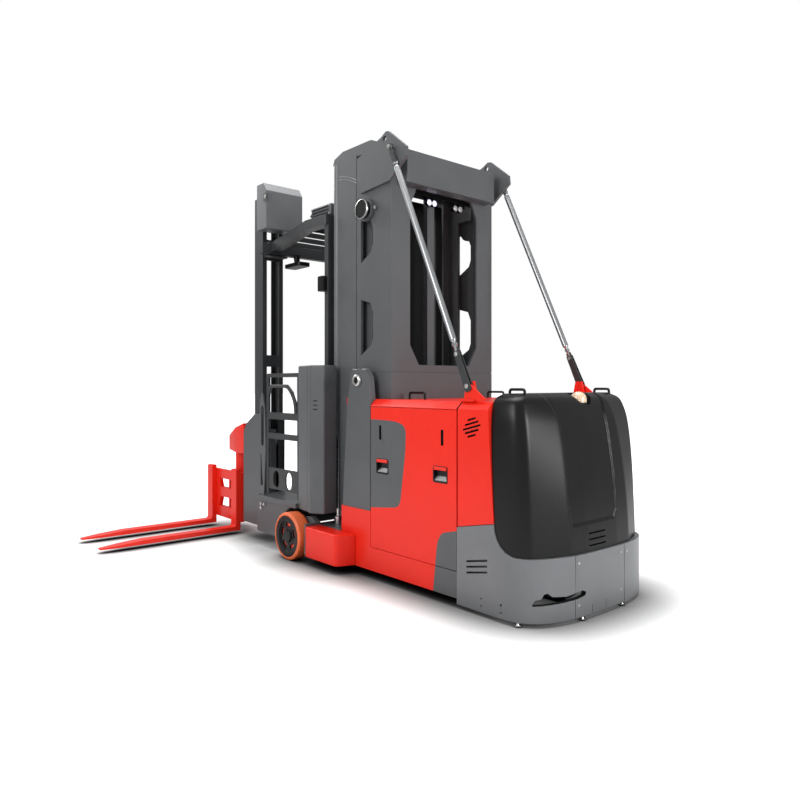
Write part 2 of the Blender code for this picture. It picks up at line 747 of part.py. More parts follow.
def inner_mast():
    web_in = inner_web_outer - inner_web
    lip_in = web_in - inner_lip
    rear_lip = mast_front - inner_lip_thick + 0.012
    box_rear = mast_front + 0.015
    roller_y = (mast_front + mast_rear_lip) / 2
    radius = (mast_front - mast_rear_lip) / 2 - inner_lip_thick - seat_gap
    parts = []
    for side in (-1, 1):
        plan = [(inner_web_outer, inner_rear), (inner_web_outer, box_rear),
                (inner_box_outer, box_rear), (inner_box_outer, inner_front), (lip_in, inner_front),
                (lip_in, inner_front - inner_lip_thick), (web_in, inner_front - inner_lip_thick),
                (web_in, rear_lip + inner_lip_thick), (lip_in, rear_lip + inner_lip_thick),
                (lip_in, rear_lip), (web_in, rear_lip), (web_in, inner_rear)]
        parts.append(prism([(side * x, y) for x, y in plan], "z", inner_bottom, inner_top + 0.01))
        for z in (0.60, 1.20):
            parts.append(rod((side * (inner_web_outer - 0.005), roller_y, z),
                             (side * (mast_half - mast_web - run_gap), roller_y, z), radius, 24))
    for low, high in ((0.40, 0.58), (1.28, 1.43), (2.80, 3.0)):
        parts.append(block((-web_in - 0.005, web_in + 0.005), (inner_rear + 0.002, inner_rear + 0.022),
                           (low, high)))
    parts.append(block((-0.035, 0.035), (inner_rear + 0.004, inner_rear + 0.05),
                       (inner_bottom, inner_top + 0.01)))
    arch = [(inner_rear, inner_top), (inner_rear, inner_top + 0.04), (-0.70, inner_top + head_height),
            (-0.36, inner_top + head_height), (-0.25, inner_top + 0.045), (-0.232, inner_top)]
    parts.append(prism(arch, "x", -0.50, 0.50))
    notches = [block((side * (web_in - 0.01), side * (inner_web_outer + 0.01)),
                     (inner_rear - 0.01, notch_front), (notch_low, notch_high)) for side in (-1, 1)]
    return carve(fuse(*parts), *notches)


def lift_barrel(side):
    spot = (side * cylinder_x, cylinder_y, 0)
    low, high = barrel_bottom, inner_top - seat_gap
    bore = lift_rod_radius + run_gap
    profile = [(low, bore), (low, barrel_radius + 0.004), (low + 0.06, barrel_radius + 0.004),
               (low + 0.061, barrel_radius), (high, barrel_radius), (high, bore)]
    return turned(profile, spot, "z", 20)


def cab_carriage():
    outer = carriage_plate + carriage_plate_thick
    front = back_wall_y - seat_gap
    web_in = inner_web_outer - inner_web
    middle = (mast_front + inner_front) / 2
    radius = (inner_front - mast_front) / 2 - inner_lip_thick - seat_gap
    parts = []
    for side in (-1, 1):
        plate = [(-0.52, carriage_bottom + 0.08), (-0.45, carriage_bottom), (front, carriage_bottom),
                 (front, carriage_top), (-0.45, carriage_top), (-0.52, carriage_top - 0.08)]
        parts.append(prism(plate, "x", side * carriage_plate, side * outer))
        for z in (carriage_bottom + 0.13, carriage_top - 0.13):
            parts.append(rod((side * (outer - 0.005), middle, z), (side * (web_in - run_gap), middle, z),
                             radius, 24))
    for low, high in ((0.47, 0.66), (1.18, 1.38)):
        parts.append(block((-outer + 0.01, outer - 0.01), (front - 0.025, front - 0.002), (low, high)))
    return fuse(*parts)


def cab_floor():
    half = floor_half
    rear = cabinet_front + seat_gap
    inner = cabinet_inner - seat_gap
    plan = [(-inner, back_wall_y), (inner, back_wall_y), (inner, rear), (half, rear),
            (half, floor_front - 0.06), (half - 0.06, floor_front), (-half + 0.06, floor_front),
            (-half, floor_front - 0.06), (-half, rear), (-inner, rear)]
    parts = [prism(plan, "z", floor_bottom, floor_bottom + floor_thick)]
    parts.append(block((-0.66, 0.66), (floor_front - 0.03, floor_front), (skirt_bottom, 0.40)))
    arch_radius = load_wheel_radius + 0.034
    for side in (-1, 1):
        outline = [(floor_front, skirt_bottom), (floor_front, 0.40), (0.056, 0.40)]
        for i in range(9):
            angle = math.radians(75 - 75 * i / 8)
            outline.append((arch_radius * math.cos(angle),
                            load_wheel_radius + arch_radius * math.sin(angle)))
        outline.append((arch_radius + 0.04, skirt_bottom))
        parts.append(prism(outline, "x", side * 0.655, side * 0.69))
    return fuse(*parts)


def rear_cabinet(side):
    plan = [(cabinet_inner, cabinet_front), (0.675, cabinet_front), (0.725, -0.257), (0.665, -0.351),
            (cabinet_inner, -0.342)]
    return prism([(side * x, y) for x, y in plan], "z", floor_bottom, cabinet_top)


def back_wall():
    half = cabinet_inner - seat_gap
    z = floor_bottom + floor_thick + seat_gap
    panel = block((-half, half), (back_wall_y, back_wall_y + back_wall_thick), (z, back_wall_top))
    return panel


def post_outline_x():
    return post_outer - post_width, post_outer


def overhead_guard():
    inner, outer = post_outline_x()
    rear = back_wall_y - seat_gap - post_depth
    parts = []
    for side in (-1, 1):
        parts.append(block((side * inner, side * outer), (rear, rear + post_depth),
                           (0.47, guard_high + 0.05)))
        beam = [(rear, guard_high), (guard_rise_y, guard_high), (guard_front_y - 0.06, guard_low + 0.02),
                (guard_front_y - 0.06, guard_low + guard_beam + 0.02),
                (guard_rise_y, guard_high + guard_beam), (rear, guard_high + guard_beam)]
        parts.append(prism(beam, "x", side * inner, side * (outer + 0.02)))
    parts.append(block((-outer, outer), (rear, rear + 0.06), (guard_high + 0.005, guard_high + 0.07)))
    bars = 6
    for i in range(bars):
        share = (i + 0.5) / bars
        y = rear + 0.06 + share * (guard_front_y - 0.18 - rear)
        z = guard_high if y < guard_rise_y else \
            guard_high + (guard_low + 0.02 - guard_high) * (y - guard_rise_y) / \
            (guard_front_y - 0.06 - guard_rise_y)
        parts.append(block((-inner - 0.01, inner + 0.01), (y, y + 0.02), (z + 0.02, z + 0.06)))
    parts.append(block((-rail_half, rail_half), (guard_front_y - rail_depth, guard_front_y),
                       (rail_high_z, rail_high_z + rail_height)))
    return fuse(*parts)


def roof_unit():
    z = guard_high + guard_beam + seat_gap
    unit = block((-0.50, 0.50), (-0.20, 0.08), (z, z + 0.10), bevel=0.02, segments=2)
    return unit


def lower_rail():
    return block((-rail_half, rail_half), (floor_front + seat_gap, floor_front + rail_depth),
                 (rail_low_z, rail_low_z + rail_height))


def console():
    z = floor_bottom + floor_thick + 0.55
    outline = [(back_wall_y + back_wall_thick + seat_gap, z), (-0.05, z + 0.10), (-0.02, z + 0.16),
               (-0.04, z + 0.20), (back_wall_y + back_wall_thick + seat_gap, z + 0.30)]
    return prism(outline, "x", -0.36, 0.36)


def front_pillar(side):
    low = floor_bottom + floor_thick + seat_gap
    outline = [(0.53, low), (0.60, low), (0.60, 1.20), (0.57, 1.27), (0.55, 1.27), (0.515, 1.14),
               (0.50, 0.80)]
    plate = prism(outline, "x", side * 0.655, side * 0.667)
    cutters = [prism(slot_outline(0.556, 1.00, 0.17, 0.022), "x", side * 0.64, side * 0.69),
               prism([(0.545, 0.50), (0.585, 0.50), (0.585, 0.76), (0.575, 0.76)], "x",
                     side * 0.64, side * 0.69)]
    return carve(plate, *cutters)


def side_gate(side):
    x = side * gate_x
    start, end = gate_hinge_y, gate_hinge_y + gate_length
    parts = [rod((x, start, 0.45), (x, start, 1.43), gate_tube, 12),
             rod((x, end, 0.45), (x, end, 1.43), gate_tube, 12)]
    for z, tall in ((1.42, 0.032), (1.09, 0.055), (0.925, 0.045)):
        parts.append(block((x - 0.012, x + 0.012), (start, end), (z - tall / 2, z + tall / 2)))
    for low, high in zip(grab_loop, grab_loop[1:]):
        parts.append(rod((x, *low), (x, *high), grab_tube, 8))
    panel = block((x - 0.006, x + 0.006), (start, end), (0.49, 0.665))
    holes = [prism(slot_outline(y, 0.575, 0.07, 0.045), "x", x - 0.02, x + 0.02) for y in (0.15, 0.34)]
    return fuse(carve(panel, *holes), *parts)


def shoe(z_low, z_high):
    """Sliding shoe that wraps a traverse rail, fixed to the auxiliary mast's back."""
    rail_front = floor_front + rail_depth
    low, high = z_low - run_gap, z_high + seat_gap
    reach = floor_front + 0.008
    outline = [(aux_rear + 0.004, low - 0.014), (reach, low - 0.014), (reach, low),
               (rail_front + run_gap, low), (rail_front + run_gap, high), (reach, high),
               (reach, high + 0.014), (aux_rear + 0.004, high + 0.014)]
    return prism(outline, "x", aux_x - aux_half + 0.01, aux_x + aux_half - 0.01)


def aux_mast():
    parts = []
    for side in (-1, 1):
        outer = aux_half
        channel = [(outer, aux_rear), (outer, aux_rear + aux_depth), (outer - 0.04, aux_rear + aux_depth),
                   (outer - 0.04, aux_rear + aux_depth - aux_wall),
                   (outer - aux_wall, aux_rear + aux_depth - aux_wall),
                   (outer - aux_wall, aux_rear + aux_wall), (outer - 0.04, aux_rear + aux_wall),
                   (outer - 0.04, aux_rear)]
        parts.append(prism([(aux_x + side * x, y) for x, y in channel], "z", aux_bottom, aux_top))
    for low, high in ((aux_bottom, 0.30), (1.50, 1.60), (2.42, 2.60), (2.86, aux_top)):
        parts.append(block((aux_x - aux_half + 0.03, aux_x + aux_half - 0.03),
                           (aux_rear + 0.001, aux_rear + 0.011), (low, high)))
    parts.append(shoe(rail_low_z, rail_low_z + rail_height))
    parts.append(shoe(rail_high_z, rail_high_z + rail_height))
    return fuse(*parts)


def aux_cap():
    low, high = 2.66, 3.05
    outline = [(aux_rear - 0.16, low), (aux_rear - 0.16, high - 0.07), (aux_rear - 0.11, high),
               (aux_rear - seat_gap, high), (aux_rear - seat_gap, low)]
    return prism(outline, "x", aux_x - aux_half - 0.06, aux_x + aux_half + 0.10)


def nose_housing():
    side_plate = [(aux_rear + 0.01, nose_bottom), (nose_front, nose_bottom), (nose_front, 0.93),
                  (0.95, 1.0), (aux_rear + 0.10, nose_top), (aux_rear + 0.01, nose_top)]
    body = prism(side_plate, "x", aux_x - nose_half, aux_x + nose_half)
    inner = nose_half - nose_wall
    bay = block((aux_x - inner, aux_x + inner), (0, aux_rear + aux_depth + 0.01), (0, 2))
    guide = block((aux_x - 0.052, aux_x + 0.052), (aux_rear + 0.03, aux_rear + aux_depth + 0.02),
                  (0.20, 0.95))
    rollers = []
    for side in (-1, 1):
        for z in (0.32, 0.86):
            rollers.append(rod((aux_x + side * 0.045, aux_rear + aux_depth / 2, z),
                               (aux_x + side * (aux_half - aux_wall - 0.002), aux_rear + aux_depth / 2, z),
                               aux_depth / 2 - aux_wall - seat_gap, 20))
    return fuse(carve(body, bay), guide, *rollers)


def nose_tip():
    plan = [(aux_x - nose_half, nose_front + seat_gap), (aux_x - nose_half, 1.16),
            (pivot_x - 0.10, tip_front - 0.02), (pivot_x - 0.06, tip_front),
            (pivot_x + 0.06, tip_front), (pivot_x + 0.10, tip_front - 0.02),
            (aux_x + nose_half + 0.05, 1.16), (aux_x + nose_half + 0.05, nose_front + seat_gap)]
    tip = prism(plan, "z", tip_bottom, tip_top)
    slope = prism([(nose_front, tip_top + 0.001), (nose_front - 0.1, 1.2), (1.7, 1.2), (1.7, 0.80)],
                  "x", -1, 0.2)
    return carve(tip, slope)


def fork_carriage():
    face = fork_face + fork_thick + seat_gap
    half = fork_gap / 2 + plate_overhang
    plate = prism([(pivot_y - half, 0.10), (pivot_y + half, 0.10), (pivot_y + half, 0.545),
                   (pivot_y - half, 0.545)], "x", face, face + plate_thick)
    holes = [prism([(pivot_y - 0.14, 0.20), (pivot_y + 0.14, 0.20), (pivot_y + 0.11, 0.29),
                    (pivot_y - 0.11, 0.29)], "x", -0.7, -0.5),
             prism([(pivot_y - 0.11, 0.38), (pivot_y + 0.11, 0.38), (pivot_y + 0.14, 0.46),
                    (pivot_y - 0.14, 0.46)], "x", -0.7, -0.5)]
    column = rod((pivot_x, pivot_y, 0.12), (pivot_x, pivot_y, tip_bottom - seat_gap), pivot_radius, 28)
    arms = [block((face + plate_thick - 0.005, pivot_x), (pivot_y - 0.05, pivot_y + 0.05), (low, high))
            for low, high in ((0.13, 0.19), (0.47, 0.53))]
    web = block((face + plate_thick - 0.005, pivot_x), (pivot_y - 0.012, pivot_y + 0.012), (0.15, 0.50))
    return fuse(carve(plate, *holes), column, *arms, web)


def fork(y):
    top = fork_bottom + fork_blade
    outline = [(fork_face + fork_thick, fork_bottom), (fork_face + fork_thick, head_top),
               (fork_face + 0.006, head_top), (fork_face, head_top - 0.01), (fork_face, top + 0.02),
               (fork_face - 0.006, top + 0.006), (fork_face - 0.02, top),
               (fork_end + 0.35, top), (fork_end, fork_bottom + fork_tip),
               (fork_end, fork_bottom)]
    blade = prism(outline, "y", y - fork_width / 2, y + fork_width / 2)
    taper = []
    for side in (-1, 1):
        taper.append(prism([(fork_end - 0.01, y + side * 0.026), (fork_end + 0.16, y + side * 0.0505),
                            (fork_end + 0.16, y + side * 0.07), (fork_end - 0.01, y + side * 0.07)],
                           "z", 0, 0.2))
    return carve(blade, *taper)


def build():
    make_bodies()
    place("chassis_body", chassis_body(), "red_paint")
    battery_half = chassis_half - 0.041
    place("battery_block", block((-battery_half, battery_half), (battery_front - 0.03, battery_rear + 0.03),
                                 (battery_sill + 0.015 + seat_gap, deck_top - deck_thick - 0.03),
                                 bevel=0.01, segments=1), "black_plastic")
    place("rear_bumper", rear_bumper(), "bumper_grey")
    place("drive_mount", drive_mount(), "grey_paint")
    place("drive_motor", drive_motor(), "black_plastic")
    place("load_frame", load_frame(), "grey_paint")
    place("outer_mast", outer_mast(), "grey_paint")
    for side in (-1, 1):
        name = side_name(side)
        place("battery_door_" + name, battery_door(side), "red_paint", "door_" + name)
        place("leg_cover_" + name, leg_cover(side), "red_paint")
        place("load_tyre_" + name, load_wheel(side), "orange_tyre", "load_wheel_" + name)
        place("load_hub_" + name, load_hub(side), "black_plastic", "load_wheel_" + name)
        place("mast_bracket_" + name, mast_bracket(side), "grey_paint")
        place("mast_stay_" + name, mast_stay(side), "steel")
        place("stay_bracket_" + name, stay_foot_bracket(side), "red_paint")
        place("lift_cylinder_" + name, lift_barrel(side), "grey_paint", "inner_mast")
        place("rear_cabinet_" + name, rear_cabinet(side), "grey_paint", "cab")
        place("front_pillar_" + name, front_pillar(side), "grey_paint", "cab")
        place("side_gate_" + name, side_gate(side), "grey_paint", "gate_" + name)
        place("lift_rod_" + name, lift_rod(side), "steel")
    place("work_lights", work_lights(), "black_plastic")
    place("rear_hood", rear_hood(), "black_plastic", "hood")
    place("beacon", beacon(), "amber", "hood")
    place("steer_yoke", steer_yoke(), "grey_paint", "steering")
    place("drive_tyre", drive_wheel(), "black_plastic", "drive_wheel")
    place("inner_mast", inner_mast(), "grey_paint", "inner_mast")
    place("cab_carriage", cab_carriage(), "grey_paint", "cab")
    place("cab_floor", cab_floor(), "grey_paint", "cab")
    place("back_wall", back_wall(), "grey_paint", "cab")
    place("overhead_guard", overhead_guard(), "grey_paint", "cab")
    place("roof_unit", roof_unit(), "black_plastic", "cab")
    place("lower_rail", lower_rail(), "black_plastic", "cab")
    place("console", console(), "black_plastic", "cab")
    place("aux_mast", aux_mast(), "grey_paint", "aux_mast")
    place("aux_cap", aux_cap(), "grey_paint", "aux_mast")
    place("nose_housing", nose_housing(), "grey_paint", "nose")
    place("nose_tip", nose_tip(), "red_paint", "nose")
    place("fork_carriage", fork_carriage(), "red_paint", "fork_head")
    place("fork_rear", fork(pivot_y - fork_gap / 2), "red_paint", "fork_head")
    place("fork_front", fork(pivot_y + fork_gap / 2), "red_paint", "fork_head")


build()
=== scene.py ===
import json
import math
import bmesh
import bpy
from mathutils import Matrix, Vector


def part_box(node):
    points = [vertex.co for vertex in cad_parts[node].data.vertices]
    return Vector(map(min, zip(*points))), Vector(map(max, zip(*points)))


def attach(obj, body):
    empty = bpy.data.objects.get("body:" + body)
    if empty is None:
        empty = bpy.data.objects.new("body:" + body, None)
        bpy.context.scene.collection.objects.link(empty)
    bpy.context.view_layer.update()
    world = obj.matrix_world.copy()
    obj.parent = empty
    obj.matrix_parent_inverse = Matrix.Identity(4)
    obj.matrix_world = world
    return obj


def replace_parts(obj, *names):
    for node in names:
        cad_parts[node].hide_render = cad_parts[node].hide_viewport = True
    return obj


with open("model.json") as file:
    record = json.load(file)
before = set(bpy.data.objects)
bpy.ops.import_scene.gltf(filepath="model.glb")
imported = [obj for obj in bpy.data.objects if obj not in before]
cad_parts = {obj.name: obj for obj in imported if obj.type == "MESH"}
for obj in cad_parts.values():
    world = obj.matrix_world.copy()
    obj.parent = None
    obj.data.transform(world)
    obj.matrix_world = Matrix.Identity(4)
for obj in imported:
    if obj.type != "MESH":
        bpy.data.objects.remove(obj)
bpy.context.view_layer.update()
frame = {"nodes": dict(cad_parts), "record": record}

# The truck's own zero is on the floor, midway between the load wheels
leftTyre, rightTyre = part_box("load_tyre_left"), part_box("load_tyre_right")
truckZero = Vector(((leftTyre[0][0] + rightTyre[1][0]) / 2, (leftTyre[0][1] + leftTyre[1][1]) / 2, 0))
sides = (("left", -1), ("right", 1))
bodyOf = {node: body for body, nodes in frame["record"]["behaviour"]["bodies"].items() for node in nodes}

# Camera, at the photograph's viewpoint
cameraView = {"place": (-3.591, -4.629, 1.35), "turn": 40.6, "lens": 31.365, "sensor": 36, "rise": -0.02}


def makeCamera():
    data = bpy.data.cameras.new("camera")
    data.lens = cameraView["lens"]
    data.sensor_width = cameraView["sensor"]
    data.shift_y = cameraView["rise"]
    camera = bpy.data.objects.new("camera", data)
    camera.location = truckZero + Vector(cameraView["place"])
    camera.rotation_euler = (math.radians(90), 0, math.radians(-cameraView["turn"]))
    bpy.context.scene.collection.objects.link(camera)
    bpy.context.scene.camera = camera


# Soft studio light: a bright sky for fill, and large discs
studio = {
    "sky": 0.45,
    "floorColour": 0.80, "floorReach": 80,
    # distances from the truck's middle, and the floor's glow at each
    "floorGlow": {"From Min": 2.2, "From Max": 5.0, "To Min": 0.30, "To Max": 1.1},
    # how far the shade around the truck reaches on the floor, and how fast it darkens
    "shadeReach": 0.38, "shadeDepth": 2.4,
    "lamps": {
        # name: place, aimed at, size, watts
        "rearKey": ((1.0, -8.8, 2.9), (-0.3, -2.1, 1.0), 3.0, 330),
        "leftKey": ((-7.0, -1.5, 4.5), (0, -0.5, 1.2), 3.6, 240),
        "overhead": ((0.0, -0.6, 6.5), (0, -0.6, 0), 4.5, 280),
        "frontTop": ((-1.0, 6.5, 6.0), (0, -1.2, 1.2), 4.0, 260),
    },
}


def makeLamps():
    for name, (place, aim, size, watts) in studio["lamps"].items():
        data = bpy.data.lights.new(name, "AREA")
        data.shape = "DISK"
        data.size = size
        data.energy = watts
        lamp = bpy.data.objects.new(name, data)
        lamp.location = truckZero + Vector(place)
        toAim = truckZero + Vector(aim) - lamp.location
        lamp.rotation_euler = toAim.to_track_quat("-Z", "Y").to_euler()
        bpy.context.scene.collection.objects.link(lamp)


def setInputs(node, values):
    for name, value in values.items():
        node.inputs[name].default_value = value


def makeSky():
    bpy.context.scene.view_settings.view_transform = "Standard"
    world = bpy.data.worlds.new("studio")
    bpy.context.scene.world = world
    world.use_nodes = True
    nodes, links = world.node_tree.nodes, world.node_tree.links
    nodes.clear()
    path = nodes.new("ShaderNodeLightPath")
    seen = nodes.new("ShaderNodeMath")
    seen.operation = "MAXIMUM"
    links.new(path.outputs["Is Camera Ray"], seen.inputs[0])
    links.new(path.outputs["Is Transmission Ray"], seen.inputs[1])
    level = nodes.new("ShaderNodeMapRange")
    setInputs(level, {"To Min": studio["sky"], "To Max": 1.0})
    links.new(seen.outputs[0], level.inputs["Value"])
    glow = nodes.new("ShaderNodeBackground")
    glow.inputs["Color"].default_value = (1, 1, 1, 1)
    links.new(level.outputs["Result"], glow.inputs["Strength"])
    out = nodes.new("ShaderNodeOutputWorld")
    links.new(glow.outputs[0], out.inputs["Surface"])


def makeFloor():
    bm = bmesh.new()
    bmesh.ops.create_grid(bm, x_segments=1, y_segments=1, size=studio["floorReach"])
    mesh = bpy.data.meshes.new("studioFloor")
    bm.to_mesh(mesh)
    bm.free()
    floor = bpy.data.objects.new("studioFloor", mesh)
    bpy.context.scene.collection.objects.link(floor)
    material = bpy.data.materials.new("paleFloor")
    material.use_nodes = True
    nodes, links = material.node_tree.nodes, material.node_tree.links
    nodes.clear()
    path = nodes.new("ShaderNodeLightPath")
    paint = nodes.new("ShaderNodeBsdfDiffuse")
    near = nodes.new("ShaderNodeAmbientOcclusion")
    near.inputs["Distance"].default_value = studio["shadeReach"]
    shade = nodes.new("ShaderNodeMath")
    shade.operation = "POWER"
    shade.inputs[1].default_value = studio["shadeDepth"]
    links.new(near.outputs["AO"], shade.inputs[0])
    pale = nodes.new("ShaderNodeMath")
    pale.operation = "MULTIPLY"
    pale.inputs[1].default_value = studio["floorColour"]
    links.new(shade.outputs[0], pale.inputs[0])
    links.new(pale.outputs[0], paint.inputs["Color"])
    # The camera sees the floor whiten with its distance from the truck, up to the sky's white
    place = nodes.new("ShaderNodeTexCoord")
    away = nodes.new("ShaderNodeVectorMath")
    away.operation = "LENGTH"
    links.new(place.outputs["Object"], away.inputs[0])
    whiten = nodes.new("ShaderNodeMapRange")
    whiten.interpolation_type = "SMOOTHSTEP"
    setInputs(whiten, studio["floorGlow"])
    links.new(away.outputs["Value"], whiten.inputs["Value"])
    glow = nodes.new("ShaderNodeEmission")
    share = nodes.new("ShaderNodeMath")
    share.operation = "MULTIPLY"
    links.new(whiten.outputs["Result"], share.inputs[1])
    links.new(path.outputs["Is Camera Ray"], share.inputs[0])
    links.new(shade.outputs[0], glow.inputs["Color"])
    links.new(share.outputs[0], glow.inputs["Strength"])
    both = nodes.new("ShaderNodeAddShader")
    links.new(paint.outputs[0], both.inputs[0])
    links.new(glow.outputs[0], both.inputs[1])
    out = nodes.new("ShaderNodeOutputMaterial")
    links.new(both.outputs[0], out.inputs["Surface"])
    mesh.materials.append(material)


# Finishes: colour, roughness, coat, size of the surface's own texture in metres, its depth, change of
# tone over the panel, then the strength of the reflection and the metal where they differ from paint's
finishes = {
    "redPaint": ((0.80, 0.021, 0.009), 0.34, 0.10, 0.0014, 0.00003, 0.04, 0.22),
    "greyPaint": ((0.078, 0.083, 0.088), 0.45, 0.10, 0.0016, 0.00009, 0.09),
    "palerPaint": ((0.120, 0.126, 0.132), 0.46, 0.10, 0.0015, 0.0001, 0.09),
    "deepPaint": ((0.026, 0.028, 0.030), 0.45, 0.08, 0.0014, 0.00006, 0.12),
    "bumperPaint": ((0.135, 0.141, 0.148), 0.40, 0.45, 0.0015, 0.0001, 0.09),
    "blackMoulding": ((0.0052, 0.0053, 0.0055), 0.32, 0.0, 0.0011, 0.00006, 0.10, 0.26),
    "stayAlloy": ((0.40, 0.41, 0.42), 0.37, 0.0, 0.002, 0.0, 0.06, 0.5, 1.0),
    "blackRubber": ((0.010, 0.010, 0.010), 0.6, 0.0, 0.0009, 0.00012, 0.2),
    # near-black painted shade for the walls inside seams, vents and slots
    "darkGap": ((0.003, 0.003, 0.003), 0.85, 0.0, 0.002, 0.00002, 0.1),
    "polyTyre": ((0.78, 0.15, 0.045), 0.48, 0.06, 0.0018, 0.00012, 0.12),
    "hubRed": ((0.80, 0.07, 0.04), 0.42, 0.1, 0.0015, 0.00006, 0.12),
    "brightSteel": ((0.60, 0.61, 0.62), 0.27, 0.0, 0.0008, 0.00002, 0.10, 0.5, 1.0),
    "darkSteel": ((0.10, 0.10, 0.105), 0.42, 0.0, 0.001, 0.00004, 0.2, 0.5, 0.8),
    "zincBolt": ((0.66, 0.66, 0.64), 0.30, 0.0, 0.0009, 0.00003, 0.15, 0.5, 1.0),
}
finished = {}

# What they share: the clouds behind the mottle, and how far the roughness swings with them
paintLook = {"cloud": {"Scale": 3.1, "Detail": 6, "Roughness": 0.6}, "cloudRange": (0.3, 0.7),
             "coatRough": 0.10, "grainDetail": 2, "grainStrength": 0.5, "swing": 0.06}


def mottledShader(name, colour, rough, coat, grainSize, lift, mottle, sheen=0.5, metal=0.0):
    material = bpy.data.materials.new(name)
    material.use_nodes = True
    nodes, links = material.node_tree.nodes, material.node_tree.links
    shader = nodes["Principled BSDF"]
    setInputs(shader, {"Metallic": metal, "Specular IOR Level": sheen,
                       "Coat Weight": coat, "Coat Roughness": paintLook["coatRough"]})
    place = nodes.new("ShaderNodeTexCoord")
    cloud = nodes.new("ShaderNodeTexNoise")
    setInputs(cloud, paintLook["cloud"])
    links.new(place.outputs["Object"], cloud.inputs["Vector"])
    tone = nodes.new("ShaderNodeMapRange")
    thin, thick = paintLook["cloudRange"]
    setInputs(tone, {"From Min": thin, "From Max": thick, "To Min": 1 - mottle, "To Max": 1 + mottle})
    links.new(cloud.outputs["Fac"], tone.inputs["Value"])
    tint = nodes.new("ShaderNodeMix")
    tint.data_type = "RGBA"
    tint.blend_type = "MULTIPLY"
    setInputs(tint, {"Factor": 1, "A": (*colour, 1)})
    links.new(tone.outputs["Result"], tint.inputs["B"])
    links.new(tint.outputs["Result"], shader.inputs["Base Color"])
    grain = nodes.new("ShaderNodeTexNoise")
    setInputs(grain, {"Scale": 1 / grainSize, "Detail": paintLook["grainDetail"]})
    links.new(place.outputs["Object"], grain.inputs["Vector"])
    bump = nodes.new("ShaderNodeBump")
    setInputs(bump, {"Strength": paintLook["grainStrength"], "Distance": lift})
    links.new(grain.outputs["Fac"], bump.inputs["Height"])
    links.new(bump.outputs["Normal"], shader.inputs["Normal"])
    wear = nodes.new("ShaderNodeMapRange")
    swing = paintLook["swing"]
    setInputs(wear, {"To Min": rough - swing, "To Max": rough + swing})
    links.new(cloud.outputs["Fac"], wear.inputs["Value"])
    links.new(wear.outputs["Result"], shader.inputs["Roughness"])
    return material


lenses = {
    # name: colour, glow, ribs per metre
    "workLight": ((0.80, 0.76, 1.0), 0.9, 90),
    "dimLight": ((0.45, 0.45, 0.47), 0.0, 110),
    "beaconDome": ((0.86, 0.62, 0.42), 0.05, 40),
}
lensLook = {"rough": 0.14, "coat": 0.7, "wander": 0.4, "dark": 0.7, "ribDepth": 0.0008, "ribStrength": 0.4}


def ribbedShader(name, colour, glow, ribs):
    material = bpy.data.materials.new(name)
    material.use_nodes = True
    nodes, links = material.node_tree.nodes, material.node_tree.links
    shader = nodes["Principled BSDF"]
    setInputs(shader, {"Roughness": lensLook["rough"], "Coat Weight": lensLook["coat"],
                       "Emission Color": (*colour, 1), "Emission Strength": glow})
    place = nodes.new("ShaderNodeTexCoord")
    wave = nodes.new("ShaderNodeTexWave")
    setInputs(wave, {"Scale": ribs, "Distortion": lensLook["wander"]})
    links.new(place.outputs["Object"], wave.inputs["Vector"])
    ramp = nodes.new("ShaderNodeMix")
    ramp.data_type = "RGBA"
    setInputs(ramp, {"A": (*(c * lensLook["dark"] for c in colour), 1), "B": (*colour, 1)})
    links.new(wave.outputs["Fac"], ramp.inputs["Factor"])
    links.new(ramp.outputs["Result"], shader.inputs["Base Color"])
    bump = nodes.new("ShaderNodeBump")
    setInputs(bump, {"Distance": lensLook["ribDepth"], "Strength": lensLook["ribStrength"]})
    links.new(wave.outputs["Fac"], bump.inputs["Height"])
    links.new(bump.outputs["Normal"], shader.inputs["Normal"])
    return material


def finish(name):
    if name not in finished:
        make, rows = (ribbedShader, lenses) if name in lenses else (mottledShader, finishes)
        finished[name] = make(name, *rows[name])
    return finished[name]


# Mesh helpers: each adds to a bmesh, in the truck's own coordinates
def along(axis, a, b, depth):
    return {"x": (depth, a, b), "y": (a, depth, b), "z": (a, b, depth)}[axis]


def addBlock(bm, low, high):
    middle = [(a + b) / 2 for a, b in zip(low, high)]
    size = [abs(b - a) for a, b in zip(low, high)]
    matrix = Matrix.Translation(middle) @ Matrix.Diagonal((*size, 1))
    return bmesh.ops.create_cube(bm, size=1, matrix=matrix)["verts"]


def addRod(bm, start, end, radius, endRadius=None, segments=24):
    start, end = Vector(start), Vector(end)
    turn = (end - start).to_track_quat("Z", "Y").to_matrix().to_4x4()
    return bmesh.ops.create_cone(bm, cap_ends=True, segments=segments, radius1=radius,
                                 radius2=radius if endRadius is None else endRadius,
                                 depth=(end - start).length,
                                 matrix=Matrix.Translation((start + end) / 2) @ turn)["verts"]


def addPlate(bm, outline, axis, low, high):
    rim = [bm.verts.new(along(axis, a, b, low)) for a, b in outline]
    pushed = bmesh.ops.extrude_face_region(bm, geom=[bm.faces.new(rim)])["geom"]
    top = [v for v in pushed if isinstance(v, bmesh.types.BMVert)]
    bmesh.ops.translate(bm, vec=along(axis, 0, 0, high - low), verts=top)
    return rim + top


